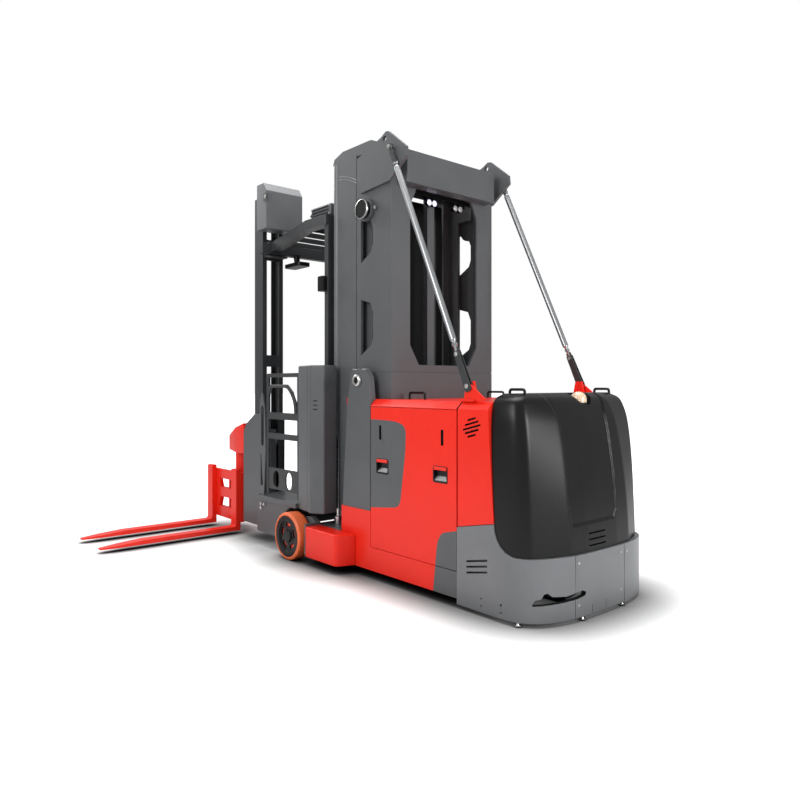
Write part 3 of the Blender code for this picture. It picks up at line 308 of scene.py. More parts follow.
# Turned shape from a profile of (distance along the axis, radius)
def addSpun(bm, profile, centre, axis, steps=40):
    across = {"x": (0, 0, 1), "y": (0, 0, 1), "z": (1, 0, 0)}[axis]
    line = along(axis, 0, 0, 1)
    spots = [Vector(centre) + Vector(line) * d + Vector(across) * r for d, r in profile]
    chain = [bm.verts.new(s) for s in spots]
    edges = [bm.edges.new(pair) for pair in zip(chain, chain[1:])]
    if profile[0][1] > 1e-6:
        edges.append(bm.edges.new((chain[-1], chain[0])))
    bmesh.ops.spin(bm, geom=chain + edges, cent=centre, axis=line, angle=2 * math.pi, steps=steps,
                   use_merge=True)
    bmesh.ops.remove_doubles(bm, verts=bm.verts[:], dist=0.00002)


# The spots of the arc that rounds a corner
def arcAt(before, corner, after, radius, steps):
    reach = min(radius, (corner - before).length / 2.01, (after - corner).length / 2.01)
    first = corner + (before - corner).normalized() * reach
    last = corner + (after - corner).normalized() * reach
    shares = [k / steps for k in range(steps + 1)]
    return [first * (1 - t) ** 2 + corner * 2 * t * (1 - t) + last * t ** 2 for t in shares]


def bentRoute(points, bend, steps=5):
    points = [Vector(p) for p in points]
    route = [points[0]]
    for before, corner, after in zip(points, points[1:], points[2:]):
        route += arcAt(before, corner, after, bend, steps)
    return route + [points[-1]]


def addTube(bm, points, radius, bend=0.03, roundness=3):
    curve = bpy.data.curves.new("route", "CURVE")
    curve.dimensions = "3D"
    curve.bevel_depth = radius
    curve.bevel_resolution = roundness
    curve.use_fill_caps = True
    spline = curve.splines.new("POLY")
    route = bentRoute(points, bend)
    spline.points.add(len(route) - 1)
    for point, spot in zip(spline.points, route):
        point.co = (*spot, 1)
    holder = bpy.data.objects.new("route", curve)
    mesh = bpy.data.meshes.new_from_object(holder)
    bm.from_mesh(mesh)
    bpy.data.objects.remove(holder)
    bpy.data.curves.remove(curve)
    bpy.data.meshes.remove(mesh)


# Hexagon head on a washer, standing on the spot
def addBolt(bm, spot, axis, toward, radius=0.009, height=0.006):
    push = Vector(along(axis, 0, 0, toward))
    spot = Vector(spot)
    addRod(bm, spot, spot + push * 0.0016, radius * 1.35, segments=20)
    addRod(bm, spot + push * 0.0014, spot + push * height, radius, radius * 0.93, segments=6)


def soften(bm, width, angle=35, segments=2, above=None):
    edges = [e for e in bm.edges if len(e.link_faces) == 2 and e.calc_face_angle(0) > math.radians(angle)]
    if above is not None:
        edges = [e for e in edges if min(v.co.z for v in e.verts) > above]
    if edges:
        bmesh.ops.bevel(bm, geom=edges, offset=width, segments=segments, profile=0.5, affect="EDGES",
                        clamp_overlap=True, material=-1)
        bmesh.ops.remove_doubles(bm, verts=bm.verts[:], dist=0.00001)


# Closed outline with its corners cut to arcs
def roundCorners(outline, radius, steps=5):
    corners = [Vector(corner) for corner in outline]
    spots = []
    for before, corner, after in zip(corners[-1:] + corners, corners, corners[1:] + corners[:1]):
        spots += [tuple(spot) for spot in arcAt(before, corner, after, radius, steps)]
    return spots


def roundRect(lowA, lowB, highA, highB, radius, steps=4):
    return roundCorners([(lowA, lowB), (highA, lowB), (highA, highB), (lowA, highB)], radius, steps)


def tidy(bm):
    bmesh.ops.remove_doubles(bm, verts=bm.verts[:], dist=0.00001)
    bmesh.ops.recalc_face_normals(bm, faces=bm.faces[:])


# The mesh after a boolean with the tool
def cutWith(bm, tool, operation="DIFFERENCE", keepTool=False):
    tidy(tool)
    held = []
    for part in (bm, tool):
        mesh = bpy.data.meshes.new("boolean")
        part.to_mesh(mesh)
        holder = bpy.data.objects.new("boolean", mesh)
        bpy.context.scene.collection.objects.link(holder)
        held.append(holder)
    modifier = held[0].modifiers.new("cut", "BOOLEAN")
    modifier.object = held[1]
    modifier.operation = operation
    modifier.solver = "EXACT"
    result = bmesh.new()
    result.from_object(held[0], bpy.context.evaluated_depsgraph_get())
    for holder in held:
        mesh = holder.data
        bpy.data.objects.remove(holder)
        bpy.data.meshes.remove(mesh)
    bm.free()
    if not keepTool:
        tool.free()
    return result


# Split the mesh where the tool's solid passes, and give the inside another material
def paintInside(bm, tool, index):
    inner = cutWith(bm.copy(), tool, "INTERSECT", keepTool=True)
    outer = cutWith(bm, tool)
    for face in inner.faces:
        face.material_index = index
    mesh = bpy.data.meshes.new("inside")
    inner.to_mesh(mesh)
    inner.free()
    outer.from_mesh(mesh)
    bpy.data.meshes.remove(mesh)
    return outer


# Give the faces whose middles lie in a box another material
def paintBox(bm, low, high, index):
    for face in bm.faces:
        middle = face.calc_center_median()
        if all(a <= c <= b for a, c, b in zip(low, middle, high)):
            face.material_index = index


def newPiece(name, bm, finishNames, body, smooth=32):
    bmesh.ops.translate(bm, vec=truckZero, verts=bm.verts[:])
    mesh = bpy.data.meshes.new(name)
    bm.to_mesh(mesh)
    bm.free()
    piece = bpy.data.objects.new(name, mesh)
    bpy.context.scene.collection.objects.link(piece)
    for finishName in finishNames.split():
        mesh.materials.append(finish(finishName))
    mesh.shade_smooth()
    mesh.set_sharp_from_angle(angle=math.radians(smooth))
    evened = piece.modifiers.new("evenNormals", "WEIGHTED_NORMAL")
    evened.keep_sharp = True
    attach(piece, body)
    return piece


def newTidyPiece(name, bm, finishNames, body, smooth=32):
    tidy(bm)
    return newPiece(name, bm, finishNames, body, smooth)


# A welded copy of a CAD node with its edges rounded, in the truck's own coordinates
def skinOf(node, edge, angle=35, segments=2):
    bm = bmesh.new()
    bm.from_mesh(frame["nodes"][node].data)
    bmesh.ops.remove_doubles(bm, verts=bm.verts[:], dist=0.00002)
    bmesh.ops.dissolve_limit(bm, angle_limit=math.radians(0.5), verts=bm.verts[:], edges=bm.edges[:])
    bmesh.ops.translate(bm, vec=-truckZero, verts=bm.verts[:])
    for face in bm.faces:
        face.material_index = 0
    if edge:
        soften(bm, edge, angle, segments)
    return bm


def dress(node, bm, finishNames, smooth=32):
    piece = newPiece(node + "_skin", bm, finishNames, bodyOf[node], smooth)
    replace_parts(piece, node)
    return piece


makeCamera()
makeLamps()
makeSky()
makeFloor()
print("studio ready")

# Nodes whose CAD shape is right: finish, slot, width of the rounded edges
plainNodes = {
    "battery_block": ("blackMoulding", "black_plastic", 0.004),
    "drive_mount": ("greyPaint", "grey_paint", 0.002),
    "drive_motor": ("blackMoulding", "black_plastic", 0.004),
    "load_frame": ("palerPaint", "grey_paint", 0.003),
    "leg_cover_left": ("redPaint", "red_paint", 0.012),
    "leg_cover_right": ("redPaint", "red_paint", 0.012),
    "lift_rod_left": ("brightSteel", "steel", 0.001),
    "lift_rod_right": ("brightSteel", "steel", 0.001),
    "steer_yoke": ("greyPaint", "grey_paint", 0.002),
    "drive_tyre": ("blackRubber", "black_plastic", 0.003),
    "inner_mast": ("greyPaint", "grey_paint", 0.0015),
    "lift_cylinder_left": ("palerPaint", "grey_paint", 0.001),
    "lift_cylinder_right": ("palerPaint", "grey_paint", 0.001),
    "cab_carriage": ("deepPaint", "grey_paint", 0.002),
    "cab_floor": ("greyPaint", "grey_paint", 0.003),
    "back_wall": ("deepPaint", "grey_paint", 0.003),
    "overhead_guard": ("deepPaint", "grey_paint", 0.003),
    "roof_unit": ("greyPaint", "black_plastic", 0.003),
    "lower_rail": ("deepPaint", "black_plastic", 0.003),
    "console": ("blackMoulding", "black_plastic", 0.008),
    "side_gate_left": ("deepPaint", "grey_paint", 0.002),
    "side_gate_right": ("deepPaint", "grey_paint", 0.002),
    "aux_mast": ("deepPaint", "grey_paint", 0.002),
    "aux_cap": ("palerPaint", "grey_paint", 0.006),
    "nose_housing": ("greyPaint", "grey_paint", 0.004),
    "nose_tip": ("redPaint", "red_paint", 0.006),
    "fork_carriage": ("redPaint", "red_paint", 0.003),
    "fork_rear": ("redPaint", "red_paint", 0.002),
    "fork_front": ("redPaint", "red_paint", 0.002),
}
for node, (finishName, slot, edge) in plainNodes.items():
    dress(node, skinOf(node, edge), finishName)
print("plain nodes dressed")

# How far a cutter passes the surface that it cuts
spare = 0.01

# Chassis: the seam over the deck and down the sides, the slanted vents, painted shade inside the seams and
# vents, and the skirt's grey patch
patchEdge = [(-1.458, 0.02), (-1.499, 0.37), (-1.540, 0.435), (-1.67, 0.466), (-1.72, 0.474)]
chassisLook = {
    "half": 0.606, "edge": 0.004,
    "seam": (-1.679, -1.668), "seamDepth": 0.008, "seamZ": (0.22, 1.27),
    # the deck slopes from the shoulder at each side up to the crown
    "shoulder": 1.197, "crown": (0.5567, 1.237),
    "ventMiddle": (-1.7925, 1.0945), "ventStep": 0.0245, "ventSlope": 0.255, "ventCorner": 0.004,
    "ventHalf": (0.033, 0.055, 0.0705, 0.055, 0.033), "ventHeight": 0.012, "ventDepth": 0.02,
    "skirtPatch": [*patchEdge, (-1.95, 0.474), (-1.95, 0.02)], "patchCorner": 0.03, "patchX": 0.7,
}
# Boxes round the faces that the vents, the deck's seam and the sides' seams bare, on the right side; these
# faces get painted near-black shade
gapShadeBoxes = (((0.576, -1.87, 1.02), (0.6056, -1.71, 1.17)),
            ((0.0, -1.6795, 1.18), (0.606, -1.6675, 1.2375)),
            ((0.597, -1.6795, 0.219), (0.6056, -1.6675, 1.2)))


def slantedVents(bm, side):
    look = chassisLook
    half = look["half"]
    for row, length in enumerate(look["ventHalf"]):
        y = look["ventMiddle"][0]
        z = look["ventMiddle"][1] + (2 - row) * look["ventStep"]
        tall = look["ventHeight"] / 2
        rise = length * look["ventSlope"]
        outline = [(y + length, z - rise - tall), (y + length, z - rise + tall),
                   (y - length, z + rise + tall), (y - length, z + rise - tall)]
        addPlate(bm, roundCorners(outline, look["ventCorner"], 3), "x",
                 side * (half - look["ventDepth"]), side * (half + spare))


def makeChassis():
    look = chassisLook
    bm = skinOf("chassis_body", look["edge"])
    tool = bmesh.new()
    foot, top = look["seamZ"]
    shoulder = look["shoulder"]
    inner, outer = look["half"] - look["seamDepth"], look["half"] + 2 * spare
    crownX, crownZ = look["crown"]
    band = [(-outer, foot), (-outer, top), (outer, top), (outer, foot), (inner, foot),
            (inner, shoulder), (crownX, crownZ), (-crownX, crownZ), (-inner, shoulder), (-inner, foot)]
    addPlate(tool, band, "y", *look["seam"])
    for name, side in sides:
        slantedVents(tool, side)
    bm = cutWith(bm, tool)
    # The bared faces in the vents and seams are painted near-black shade
    for low, high in gapShadeBoxes:
        paintBox(bm, low, high, 2)
        paintBox(bm, (-high[0], *low[1:]), (-low[0], *high[1:]), 2)
    patch = bmesh.new()
    addPlate(patch, roundCorners(look["skirtPatch"], look["patchCorner"]), "x",
             -look["patchX"], look["patchX"])
    bm = paintInside(bm, patch, 1)
    dress("chassis_body", bm, "redPaint greyPaint darkGap")


makeChassis()
print("chassis ready")

# Battery doors: two grey patches, a latch handle and a slot at each end, with painted shade inside the slots
doorLook = {
    "half": chassisLook["half"], "edge": 0.0012,
    # each patch's corner radius and outline
    "patches": ((0.06, [(-0.80, 1.108), (-1.096, 1.104), (-1.207, 1.075), (-1.200, 0.90), (-1.165, 0.68),
                        (-1.145, 0.535), (-0.991, 0.516), (-0.80, 0.492)]),
                (0.03, [*patchEdge, (-1.72, 0.02)])),
    "patchDepth": 0.04, "handles": ((-0.9615, 0.791), (-1.5275, 0.791)),
    "slots": ((-0.939, 1.020), (-1.544, 1.020)), "slotSize": (0.024, 0.098), "slotCorner": 0.005,
    "slotDepth": 0.016, "slotShade": (0.05, 0.0015), "slack": 0.001,
}
# Offsets of the latch's profiles are from the door's face and from the latch's middle
handleLook = {
    "size": (0.130, 0.104), "corner": 0.014, "depths": (0.0225, 0.0018), "edge": 0.0012,
    "cup": (-0.055, -0.040, 0.055, 0.036, 0.008), "cupDepth": 0.020,
    "bars": {
        # name: finish, slot, half length, width of the rounded edges, profile
        "_lip": ("redPaint", "red_paint", 0.056, 0.0015,
                 [(0.0022, 0.048), (0.0060, 0.043), (0.0045, 0.026), (-0.003, 0.028), (-0.003, 0.046)]),
        "_paddle": ("brightSteel", "steel", 0.051, 0.0012,
                    [(-0.019, -0.012), (-0.017, -0.010), (-0.0005, -0.036), (-0.0005, -0.0395),
                     (-0.019, -0.0395)]),
    },
}


# Recessed latch: a black bezel and cup, a red lip on top and a pale paddle at the bottom
def makeHandle(name, side, y, z, body):
    look, half = handleLook, doorLook["half"]
    wide, tall = (s / 2 for s in look["size"])
    behind, proud = look["depths"]
    bm = bmesh.new()
    addPlate(bm, roundRect(y - wide, z - tall, y + wide, z + tall, look["corner"]), "x",
             side * (half - behind), side * (half + proud))
    tidy(bm)
    hole = bmesh.new()
    rear, low, front, high, corner = look["cup"]
    addPlate(hole, roundRect(y + rear, z + low, y + front, z + high, corner), "x",
             side * (half - look["cupDepth"]), side * (half + spare))
    bm = cutWith(bm, hole)
    soften(bm, look["edge"], 50)
    newTidyPiece(name, bm, "blackMoulding", body)
    for label, (finishName, slot, reach, edge, profile) in look["bars"].items():
        bm = bmesh.new()
        addPlate(bm, [(side * (half + out), z + up) for out, up in profile], "y", y - reach, y + reach)
        soften(bm, edge)
        newTidyPiece(name + label, bm, finishName, body)


def makeDoor(name, side):
    look = doorLook
    half = look["half"]
    bm = skinOf("battery_door_" + name, look["edge"])
    tool = bmesh.new()
    wide, tall = (s / 2 for s in look["slotSize"])
    for y, z in look["slots"]:
        addPlate(tool, roundRect(y - wide, z - tall, y + wide, z + tall, look["slotCorner"]), "x",
                 side * (half - look["slotDepth"]), side * (half + spare))
    bm = cutWith(bm, tool)
    for corner, outline in look["patches"]:
        patch = bmesh.new()
        addPlate(patch, roundCorners(outline, corner), "x",
                 side * (half - look["patchDepth"]), side * (half + spare))
        bm = paintInside(bm, patch, 1)
    # The slots' walls and floors are painted near-black shade
    inner, outer = sorted(side * (half - depth) for depth in look["slotShade"])
    wide, tall = wide + look["slack"], tall + look["slack"]
    for y, z in look["slots"]:
        paintBox(bm, (inner, y - wide, z - tall), (outer, y + wide, z + tall), 2)
    dress("battery_door_" + name, bm, "redPaint greyPaint darkGap")
    for place, (y, z) in zip(("front", "rear"), look["handles"]):
        makeHandle(place + "Handle_" + name, side, y, z, "door_" + name)


for name, side in sides:
    makeDoor(name, side)
print("doors ready")

# Bumper: split lines, screw holes and bolts, with painted shade on the slot's walls
bumperLook = {
    "edge": 0.002, "rimEdge": 0.007, "rimLow": 0.30,
    "slotShadeBox": ((-0.56, 0.11), (-0.18, 0.20)), "footTop": 0.0265,
    "splits": ((-0.284, -2.283), (0.204, -2.290)), "splitHalf": 0.002,
    "holes": ((-1.869, 0.105), (-1.869, 0.062), (-2.017, 0.103), (-2.017, 0.058)),
    "bolts": ((-0.255, -2.2938, 0.335), (0.161, -2.2989, 0.334), (-0.255, -2.2938, 0.096),
              (0.235, -2.2958, 0.334), (0.161, -2.2989, 0.110)),
    "notches": ((-0.134, -2.294), (0.0, -2.295)),
}


def makeBumper():
    look = bumperLook
    bm = skinOf("rear_bumper", 0)
    soften(bm, look["rimEdge"], 40, 3, look["rimLow"])
    soften(bm, look["edge"], 40)
    bm.normal_update()
    # The slot's walls are painted near-black shade
    (slotX, slotZ), (slotEnd, slotTop) = look["slotShadeBox"]
    for face in bm.faces:
        x, y, z = face.calc_center_median()
        if slotX < x < slotEnd and slotZ < z < slotTop and abs(face.normal.y) < 0.5:
            face.material_index = 1
        if z < look["footTop"]:
            face.material_index = 2
    tool = bmesh.new()
    thin = look["splitHalf"]
    for x, depth in look["splits"]:
        addBlock(tool, (x - thin, -2.33, -0.02), (x + thin, depth, 0.42))
    for x, depth in look["notches"]:
        addBlock(tool, (x - 0.002, -2.33, 0.035), (x + 0.002, depth, 0.085))
    for y, z in look["holes"]:
        for name, side in sides:
            addRod(tool, (side * 0.585, y, z), (side * 0.62, y, z), 0.0075, segments=14)
    bm = cutWith(bm, tool)
    dress("rear_bumper", bm, "bumperPaint darkGap zincBolt")
    bm = bmesh.new()
    for x, y, z in look["bolts"]:
        addBolt(bm, (x, y, z), "y", -1, 0.006, 0.004)
    newTidyPiece("bumperScrews", bm, "zincBolt", "chassis")


makeBumper()

# Hood: the CAD's sections as a fine shell whose creases and sunk rear panel are rounded
hoodLook = {
    # height, half width, rear y, fullness of the plan
    "sections": ((0.30, 0.600, -2.290, 3.0), (0.60, 0.600, -2.272, 3.0), (0.90, 0.594, -2.232, 3.3),
                 (1.12, 0.580, -2.186, 3.7), (1.215, 0.562, -2.150, 3.9), (1.268, 0.530, -2.115, 4.1),
                 (1.295, 0.460, -2.070, 4.1)),
    "shares": (1.0, 0.975, 0.90, 0.50, 0.25, 0.0), "columns": (6, 6, 6, 36, 30, 30), "evening": 5,
    "front": -1.67, "shoulder": -1.967, "wall": 0.018, "rowStep": 0.0055,
    "shield": [(-0.33, 1.5), (-0.319, 1.257), (-0.301, 1.194), (-0.284, 1.114), (-0.286, 0.915),
               (-0.30, 0.691), (-0.278, 0.537), (0.127, 0.543), (0.165, 0.587), (0.177, 0.705),
               (0.186, 0.976), (0.20, 1.176), (0.234, 1.268), (0.25, 1.5)],
    "shieldDepth": 0.009, "shieldRamp": 0.012, "shieldFront": -1.99,
    "hollowLow": 0.2,
    # the bumper's rising end, followed by the hood's lower edge, and the chassis that it rests on
    "line": {"middle": (-1.964, 0.383), "reach": (0.15, 0.17), "steps": 14},
    "outside": ((-2.5, 0.1), (-1.5, 1.5)), "seat": (-1.915, 1.255),
    "vents": (0.41, 0.445, 0.48), "ventHeight": 0.009, "ventX": (-0.138, 0.027), "ventY": (-2.4, -2.2),
}
beaconLook = {"spot": (0.047, -2.078), "floor": 1.2245, "floorCut": 1.224, "steps": 36,
              "pocket": (0.066, 0.179, 1.45), "cup": (1.206, 0.090, 1.295, 0.1345),
              "base": [(0, 0), (0, 0.0545), (0.009, 0.0545), (0.0115, 0.052), (0.0125, 0.050), (0.0125, 0.0)],
              "dome": [(0.0125, 0.0), (0.0125, 0.050), (0.040, 0.0492), (0.056, 0.044), (0.068, 0.033),
                       (0.076, 0.019), (0.080, 0.0)]}


def hoodSection(height):
    sections = hoodLook["sections"]
    height = max(height, sections[0][0])
    i = max(k for k in range(len(sections) - 1) if height >= sections[k][0])
    first, last = sections[i], sections[i + 1]
    before, after = sections[max(i - 1, 0)], sections[min(i + 2, len(sections) - 1)]
    gap = last[0] - first[0]
    t = (height - first[0]) / gap
    values = []
    for k in (1, 2, 3):
        slopeIn = (last[k] - before[k]) / (last[0] - before[0]) * gap
        slopeOut = (after[k] - first[k]) / (after[0] - first[0]) * gap
        values.append(first[k] * (2 * t ** 3 - 3 * t ** 2 + 1) + slopeIn * (t ** 3 - 2 * t ** 2 + t)
                      + last[k] * (3 * t ** 2 - 2 * t ** 3) + slopeOut * (t ** 3 - t ** 2))
    return values


def hoodPlan(height, inset):
    look = hoodLook
    half, rear, fullness = hoodSection(height)
    half, rear = half - inset, rear + inset
    corners = [(half, look["front"] + inset)]
    for share in look["shares"]:
        bulge = (1 - share ** fullness) ** (1 / fullness)
        corners.append((half * share, look["shoulder"] + (rear - look["shoulder"]) * bulge))
    right = []
    for a, b, count in zip(corners, corners[1:], look["columns"]):
        right += [tuple(p + (q - p) * k / count for p, q in zip(a, b)) for k in range(count)]
    plan = right + [corners[-1]] + [(-x, y) for x, y in reversed(right)]
    for _ in range(look["evening"]):
        trios = zip(plan, plan[1:], plan[2:])
        middle = [tuple((p + 2 * q + r) / 4 for p, q, r in zip(*trio)) for trio in trios]
        plan = [plan[0]] + middle + [plan[-1]]
    return plan


def hoodSolid(heights, inset):
    bm = bmesh.new()
    rings = [[bm.verts.new((x, y, height)) for x, y in hoodPlan(height, inset)] for height in heights]
    for low, high in zip(rings, rings[1:]):
        for i, vert in enumerate(low):
            after = (i + 1) % len(low)
            bm.faces.new((vert, low[after], high[after], high[i]))
    bm.faces.new(rings[0])
    bm.faces.new(rings[-1])
    return bm


# How deep a spot lies inside a closed outline, or 0 outside it
def depthInside(spot, outline):
    inside = False
    nearest = 1.0
    for (ax, ay), (bx, by) in zip(outline, outline[1:] + outline[:1]):
        if (ay > spot[1]) != (by > spot[1]) and spot[0] < (bx - ax) * (spot[1] - ay) / (by - ay) + ax:
            inside = not inside
        t = ((spot[0] - ax) * (bx - ax) + (spot[1] - ay) * (by - ay)) / ((bx - ax) ** 2 + (by - ay) ** 2)
        t = min(1, max(0, t))
        nearest = min(nearest, math.hypot(ax + (bx - ax) * t - spot[0], ay + (by - ay) * t - spot[1]))
    return nearest if inside else 0


def makeHood():
    look, light = hoodLook, beaconLook
    low, high = look["sections"][0][0], look["sections"][-1][0]
    rows = round((high - low) / look["rowStep"])
    bm = hoodSolid([low + (high - low) * k / rows for k in range(rows + 1)], 0)
    for vert in bm.verts:
        if vert.co.y < look["shieldFront"]:
            t = min(1, depthInside((vert.co.x, vert.co.z), look["shield"]) / look["shieldRamp"])
            vert.co.y += look["shieldDepth"] * t * t * (3 - 2 * t)
    tidy(bm)
    levels = [look["hollowLow"], *(s[0] for s in look["sections"][:-1]), high - look["wall"]]
    hollow = hoodSolid(levels, look["wall"])
    tidy(hollow)
    cup = bmesh.new()
    cupLow, cupNarrow, cupHigh, cupWide = light["cup"]
    addRod(cup, (*light["spot"], cupLow), (*light["spot"], cupHigh), cupNarrow, cupWide, 48)
    hollow = cutWith(hollow, cup)
    bm = cutWith(bm, hollow)
    around = bmesh.new()
    (lineY, lineZ), (reachY, reachZ) = look["line"]["middle"], look["line"]["reach"]
    steps = look["line"]["steps"]
    turns = [math.radians(90 * k / steps) for k in range(steps, -1, -1)]
    line = [(lineY - reachY * (1 - math.cos(a)), lineZ + reachZ * (1 - math.sin(a))) for a in turns]
    (rear, bottom), (front, over) = look["outside"]
    seatY, seatZ = look["seat"]
    addPlate(around, [(front, bottom), (rear, bottom), (rear, lineZ), *line, (seatY, seatZ),
                      (seatY, over), (front, over)], "x", -1, 1)
    bm = cutWith(bm, around)
    pocket = bmesh.new()
    narrow, wide, top = light["pocket"]
    addRod(pocket, (*light["spot"], light["floorCut"]), (*light["spot"], top), narrow, wide, 64)
    bm = cutWith(bm, pocket)
    vents = bmesh.new()
    (left, right), (rear, front) = look["ventX"], look["ventY"]
    for z in look["vents"]:
        addBlock(vents, (left, rear, z), (right, front, z + look["ventHeight"]))
    bm = cutWith(bm, vents)
    dress("rear_hood", bm, "blackMoulding", 40)


def makeBeacon():
    look = beaconLook
    spot = (*look["spot"], look["floor"])
    bm = bmesh.new()
    addSpun(bm, look["base"], spot, "z", look["steps"])
    newTidyPiece("beaconBase", bm, "blackMoulding", "hood", 40)
    bm = bmesh.new()
    addSpun(bm, look["dome"], spot, "z", look["steps"])
    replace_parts(newTidyPiece("beaconDome", bm, "beaconDome", "hood", 50), "beacon")


makeHood()
makeBeacon()
print("rear end ready")

# Lifting loops on the deck and the hood: x, both ends' y, height of the base and the top
loopLook = {"radius": 0.0085, "bend": 0.016,
            "loops": {"deckLoop": (0.40, -1.010, -1.165, 1.245, 1.290, "chassis"),
                      "hoodLoop": (0.43, -1.935, -2.046, 1.276, 1.318, "hood")}}


def makeLoops():
    look = loopLook
    for label, (x, first, last, base, top, body) in look["loops"].items():
        for name, side in sides:
            bm = bmesh.new()
            addTube(bm, [(side * x, first, base), (side * x, first, top), (side * x, last, top),
                         (side * x, last, base)], look["radius"], look["bend"])
            newTidyPiece(label + "_" + name, bm, "blackMoulding", body, 45)


makeLoops()

# Stays: turned tubes with threaded ends, clevises at both ends
stayLook = {"top": (0.556, -0.988, 2.963), "foot": (0.571, -1.733, 1.337), "tube": 0.0205,
            "thread": 0.0105, "link": 0.235, "upper": 0.15,
            "gusset": [(-1.712, 1.338), (-1.752, 1.350), (-1.866, 1.266), (-1.866, 1.248), (-1.70, 1.248)]}


# Two flat plates with a rounded eye at the start
def addFork(bm, start, end, wide, tip):
    outline = [(-wide, start + 0.010), (-wide * 0.6, start), (wide * 0.6, start), (wide, start + 0.010),
               (tip, end), (-tip, end)]
    for offset in (-0.0135, 0.0065):
        addPlate(bm, outline, "x", offset, offset + 0.007)


def makeStay(name, side):
    look = stayLook
    top = Vector((side * look["top"][0], *look["top"][1:]))
    foot = Vector((side * look["foot"][0], *look["foot"][1:]))
    length = (top - foot).length
    # The stay is made along Z, then stood up with its X across the truck
    upward = (top - foot).normalized()
    across = Vector((1, 0, 0))
    across = (across - upward * across.dot(upward)).normalized()
    stand = Matrix((across, upward.cross(across), upward)).transposed().to_4x4()
    stand.translation = foot
    tube, thread, link = look["tube"], look["thread"], look["link"]
    low, high = link + 0.07, length - look["upper"] - 0.015
    profile = [(0.05, 0), (0.05, thread)]
    ring = 0.16
    while ring < low - 0.016:
        profile += [(ring, thread), (ring + 0.002, thread + 0.0012)]
        ring += 0.004
    profile += [(low - 0.012, thread), (low, tube * 0.8), (low + 0.01, tube), (high - 0.012, tube),
                (high, tube * 0.82), (high + 0.012, thread), (length - 0.035, thread), (length - 0.035, 0)]
    bm = bmesh.new()
    addSpun(bm, profile, (0, 0, 0), "z", 28)
    for start in (low - 0.035, high + 0.014):
        addRod(bm, (0, 0, start), (0, 0, start + 0.018), 0.019, segments=6)
    bmesh.ops.transform(bm, matrix=stand, verts=bm.verts[:])
    piece = newTidyPiece("stayTube_" + name, bm, "stayAlloy", "chassis", 40)
    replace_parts(piece, "mast_stay_" + name)
    bm = bmesh.new()
    addFork(bm, -0.034, link, 0.027, 0.020)
    addBlock(bm, (-0.0065, -0.018, link - 0.035), (0.0065, 0.018, link + 0.022))
    addFork(bm, length - look["upper"], length + 0.024, 0.017, 0.013)
    addBlock(bm, (-0.0065, -0.015, length - look["upper"] - 0.01),
             (0.0065, 0.015, length - look["upper"] + 0.03))
    soften(bm, 0.0015)
    bmesh.ops.transform(bm, matrix=stand, verts=bm.verts[:])
    newTidyPiece("stayForks_" + name, bm, "deepPaint", "chassis")
    bm = bmesh.new()
    for spot in (foot, foot + upward * (link - 0.02)):
        addRod(bm, spot - Vector((0.017, 0, 0)), spot + Vector((0.017, 0, 0)), 0.014, segments=20)
        addBolt(bm, spot + Vector((side * 0.017, 0, 0)), "x", side, 0.011, 0.008)
    addRod(bm, (side * 0.5325, *look["top"][1:]), (side * 0.574, *look["top"][1:]), 0.013, segments=20)
    addBolt(bm, (side * 0.574, *look["top"][1:]), "x", side, 0.011, 0.008)
    newTidyPiece("stayPins_" + name, bm, "zincBolt", "chassis", 40)
    bm = bmesh.new()
    addPlate(bm, roundCorners(look["gusset"], 0.012), "x", side * 0.566, side * 0.576)
    soften(bm, 0.0015)
    newTidyPiece("stayGusset_" + name, bm, "redPaint", "chassis")


for name, side in sides:
    makeStay(name, side)
    dress("stay_bracket_" + name, skinOf("stay_bracket_" + name, 0.002), "redPaint")
print("stays ready")

# Mast: seam of the base box, drums with wires, bracket rings, work lights, and the black screen that paints
# the shade inside the mast, with its shroud
mastLook = {
    "edge": 0.003, "seam": (1.431, 1.436),
    "drum": (-0.684, 2.595), "boss": (-0.69, 1.375), "bossFace": 0.622,
    "lights": {"workLight": (-0.078, -0.026), "dimLight": (0.195, 0.247)}, "lightFront": -0.864,
    "lightZ": 2.690,
    "wireX": 0.506, "wire": [(-0.292, 2.922), (-0.43, 2.895), (-0.544, 2.845)],
    # black plate on the inner mast, a sheet of painted shade for the dark inside of the mast, with the
    # cylinders' pipes before it
    "screen": ((-0.36, 1.46), (0.30, 2.76)), "screenY": (-0.604, -0.600),
    "shroud": ((-0.34, 2.715), (0.34, 2.80)), "shroudY": (-0.818, -0.814),
    "pipes": ((-0.315, 0.012), (-0.270, 0.007), (-0.10, 0.016), (-0.055, 0.007), (0.11, 0.009),
              (0.20, 0.016)),
    # turned shapes: distance from the truck's middle, radius
    "drumProfile": [(0.530, 0.0), (0.530, 0.072), (0.536, 0.072), (0.540, 0.064), (0.570, 0.064),
                    (0.576, 0.060), (0.576, 0.0)],
    "drumRim": [(0.568, 0.0645), (0.568, 0.071), (0.576, 0.070), (0.578, 0.0645)],
    "bossRing": [(0.622, 0.023), (0.629, 0.025), (0.631, 0.034), (0.626, 0.041), (0.612, 0.043),
                 (0.612, 0.023)],
    "lensProfile": [(-0.0050, 0.0), (-0.0040, 0.012), (-0.0006, 0.0215), (0.001, 0.0215), (0.001, 0.0)],
}


def addSideSpun(bm, profile, side, centre, steps):
    addSpun(bm, [(side * out, radius) for out, radius in profile], centre, "x", steps)


def makeOuterMast():
    look = mastLook
    bm = skinOf("outer_mast", look["edge"])
    tool = bmesh.new()
    low, high = look["seam"]
    addBlock(tool, (-0.55, -0.96, low), (0.55, -0.9425, high))
    bm = cutWith(bm, tool)
    for name, side in sides:
        tool = bmesh.new()
        addBlock(tool, (side * 0.509, -0.95, low), (side * 0.55, -0.84, high))
        bm = cutWith(bm, tool)
    dress("outer_mast", bm, "greyPaint")


